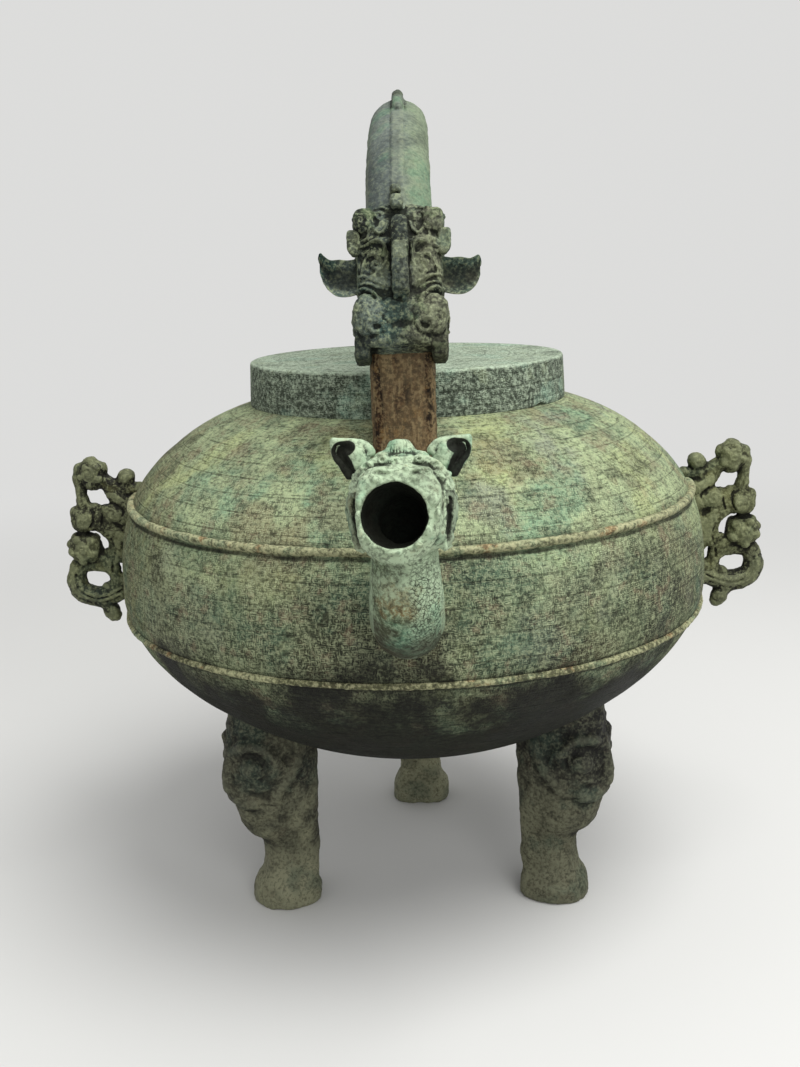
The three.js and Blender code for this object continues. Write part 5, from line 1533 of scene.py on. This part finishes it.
def make_lamp(name, place, size, power):
    """A round lamp that points at the middle of the vessel."""
    data = bpy.data.lights.new(name, "AREA")
    data.shape = "DISK"
    data.size = size
    data.energy = power
    lamp = bpy.data.objects.new(name, data)
    lamp.location = place
    lamp.rotation_euler = (Vector(MIDDLE) - Vector(place)).to_track_quat("-Z", "Y").to_euler()
    bpy.context.scene.collection.objects.link(lamp)


def background_ray(start):
    """1 for the rays that show the background: from the camera, from gloss and through glass."""
    kinds = ("Camera", "Glossy", "Transmission")
    seen, gloss, glass = (start.node("LightPath", output=f"Is {kind} Ray") for kind in kinds)
    return start.math("MAXIMUM", start.math("MAXIMUM", seen, gloss), glass)


def ground():
    """A pale floor that keeps the object's shadow and passes into the wall's colour far away."""
    material = bpy.data.materials.new("ground")
    start = blank(material)
    x, y = axes_of(start.node("TexCoord", output="Object"), "XY")
    far = x.math("SQRT", x * x + y * y).step(0.30, 0.95) * background_ray(start)
    near = {"Base Color": linear(FLOOR_COLOUR), "Roughness": 0.9}
    near = start.node("BsdfPrincipled", {}, near)
    wall = start.node("Emission", {}, {"Color": linear(WALL_COLOUR), "Strength": 1.0})
    show(start.node("MixShader", {}, {"Fac": far, "Shader": near, "Shader_001": wall}), "Material")
    return material


def make_floor():
    """A flat square floor."""
    half = 3.0  # metres
    corners = [(-half, -half, 0), (half, -half, 0), (half, half, 0), (-half, half, 0)]
    mesh = bpy.data.meshes.new("floor")
    mesh.from_pydata(corners, [], [(0, 1, 2, 3)])
    mesh.materials.append(ground())
    floor = bpy.data.objects.new("floor", mesh)
    bpy.context.scene.collection.objects.link(floor)


def make_world():
    """An even pale sky: softer light on the object than the tone that the camera sees."""
    world = bpy.data.worlds.new("sky")
    start = blank(world)
    seen = background_ray(start)
    light = start.node("Background", {}, {"Color": (1, 1, 1, 1), "Strength": 0.72})
    wall = start.node("Background", {}, {"Color": linear(WALL_COLOUR), "Strength": 1.0})
    show(start.node("MixShader", {}, {"Fac": seen, "Shader": light, "Shader_001": wall}), "World")
    bpy.context.scene.world = world


class HeStage(bpy.types.Operator):
    """Makes the floor, the light and the camera."""

    bl_idname = "he.stage"
    bl_label = "Floor, light and camera"

    def execute(self, context):
        make_camera()
        make_floor()
        make_world()
        make_lamp("lamp_above", (0.35, -0.30, 1.10), LAMP_SIZE, 13)
        make_lamp("lamp_front", (0.35, -1.2, 0.7), LAMP_SIZE, 6)
        context.scene.view_settings.view_transform = "Standard"
        return {"FINISHED"}


class HeVessel(bpy.types.Operator):
    """Makes the vessel's shell and the two cords round it."""

    bl_idname = "he.vessel"
    bl_label = "Vessel"

    def execute(self, context):
        make_vessel()
        return {"FINISHED"}


class HeLid(bpy.types.Operator):
    """Makes the lid, its loop and its ring."""

    bl_idname = "he.lid"
    bl_label = "Lid"

    def execute(self, context):
        make_lid()
        make_lid_fittings()
        return {"FINISHED"}


class HeHandle(bpy.types.Operator):
    """Makes the handle: its post, the dragon's body and its head."""

    bl_idname = "he.handle"
    bl_label = "Handle"

    def execute(self, context):
        make_post()
        make_arch()
        make_head()
        return {"FINISHED"}


class HeSpout(bpy.types.Operator):
    """Makes the spout's neck and the beast's head on it."""

    bl_idname = "he.spout"
    bl_label = "Spout"

    def execute(self, context):
        make_neck()
        make_spout_head()
        return {"FINISHED"}


class HeLegs(bpy.types.Operator):
    """Makes the three legs."""

    bl_idname = "he.legs"
    bl_label = "Legs"

    def execute(self, context):
        make_legs()
        return {"FINISHED"}


class HeFins(bpy.types.Operator):
    """Makes the three openwork fins."""

    bl_idname = "he.fins"
    bl_label = "Fins"

    def execute(self, context):
        make_fins()
        return {"FINISHED"}


class HePanel(bpy.types.Panel):
    """Lists the sizes, the colours and the pieces in the sidebar."""

    bl_idname = "VIEW3D_PT_he"
    bl_label = "Bronze He Vessel"
    bl_space_type = "VIEW_3D"
    bl_region_type = "UI"
    bl_category = "He"

    def draw(self, context):
        for group in (context.scene.he_sizes, context.scene.he_colours):
            for name in group.__annotations__:
                self.layout.prop(group, name)
        for operator in OPERATORS:
            self.layout.operator(operator.bl_idname)


OPERATORS = (HeStage, HeVessel, HeLid, HeHandle, HeSpout, HeLegs, HeFins)
CLASSES = (HeSizes, HeColours, *OPERATORS, HePanel)


def register():
    for made in CLASSES:
        bpy.utils.register_class(made)
    bpy.types.Scene.he_sizes = bpy.props.PointerProperty(type=HeSizes)
    bpy.types.Scene.he_colours = bpy.props.PointerProperty(type=HeColours)


def unregister():
    del bpy.types.Scene.he_sizes
    del bpy.types.Scene.he_colours
    for made in reversed(CLASSES):
        bpy.utils.unregister_class(made)


def main():
    """Makes everything in order."""
    register()
    for operator in OPERATORS:
        group, name = operator.bl_idname.split(".")
        if getattr(getattr(bpy.ops, group), name)() != {"FINISHED"}:
            raise RuntimeError(operator.bl_label + " was not made")


if __name__ == "__main__":
    main()
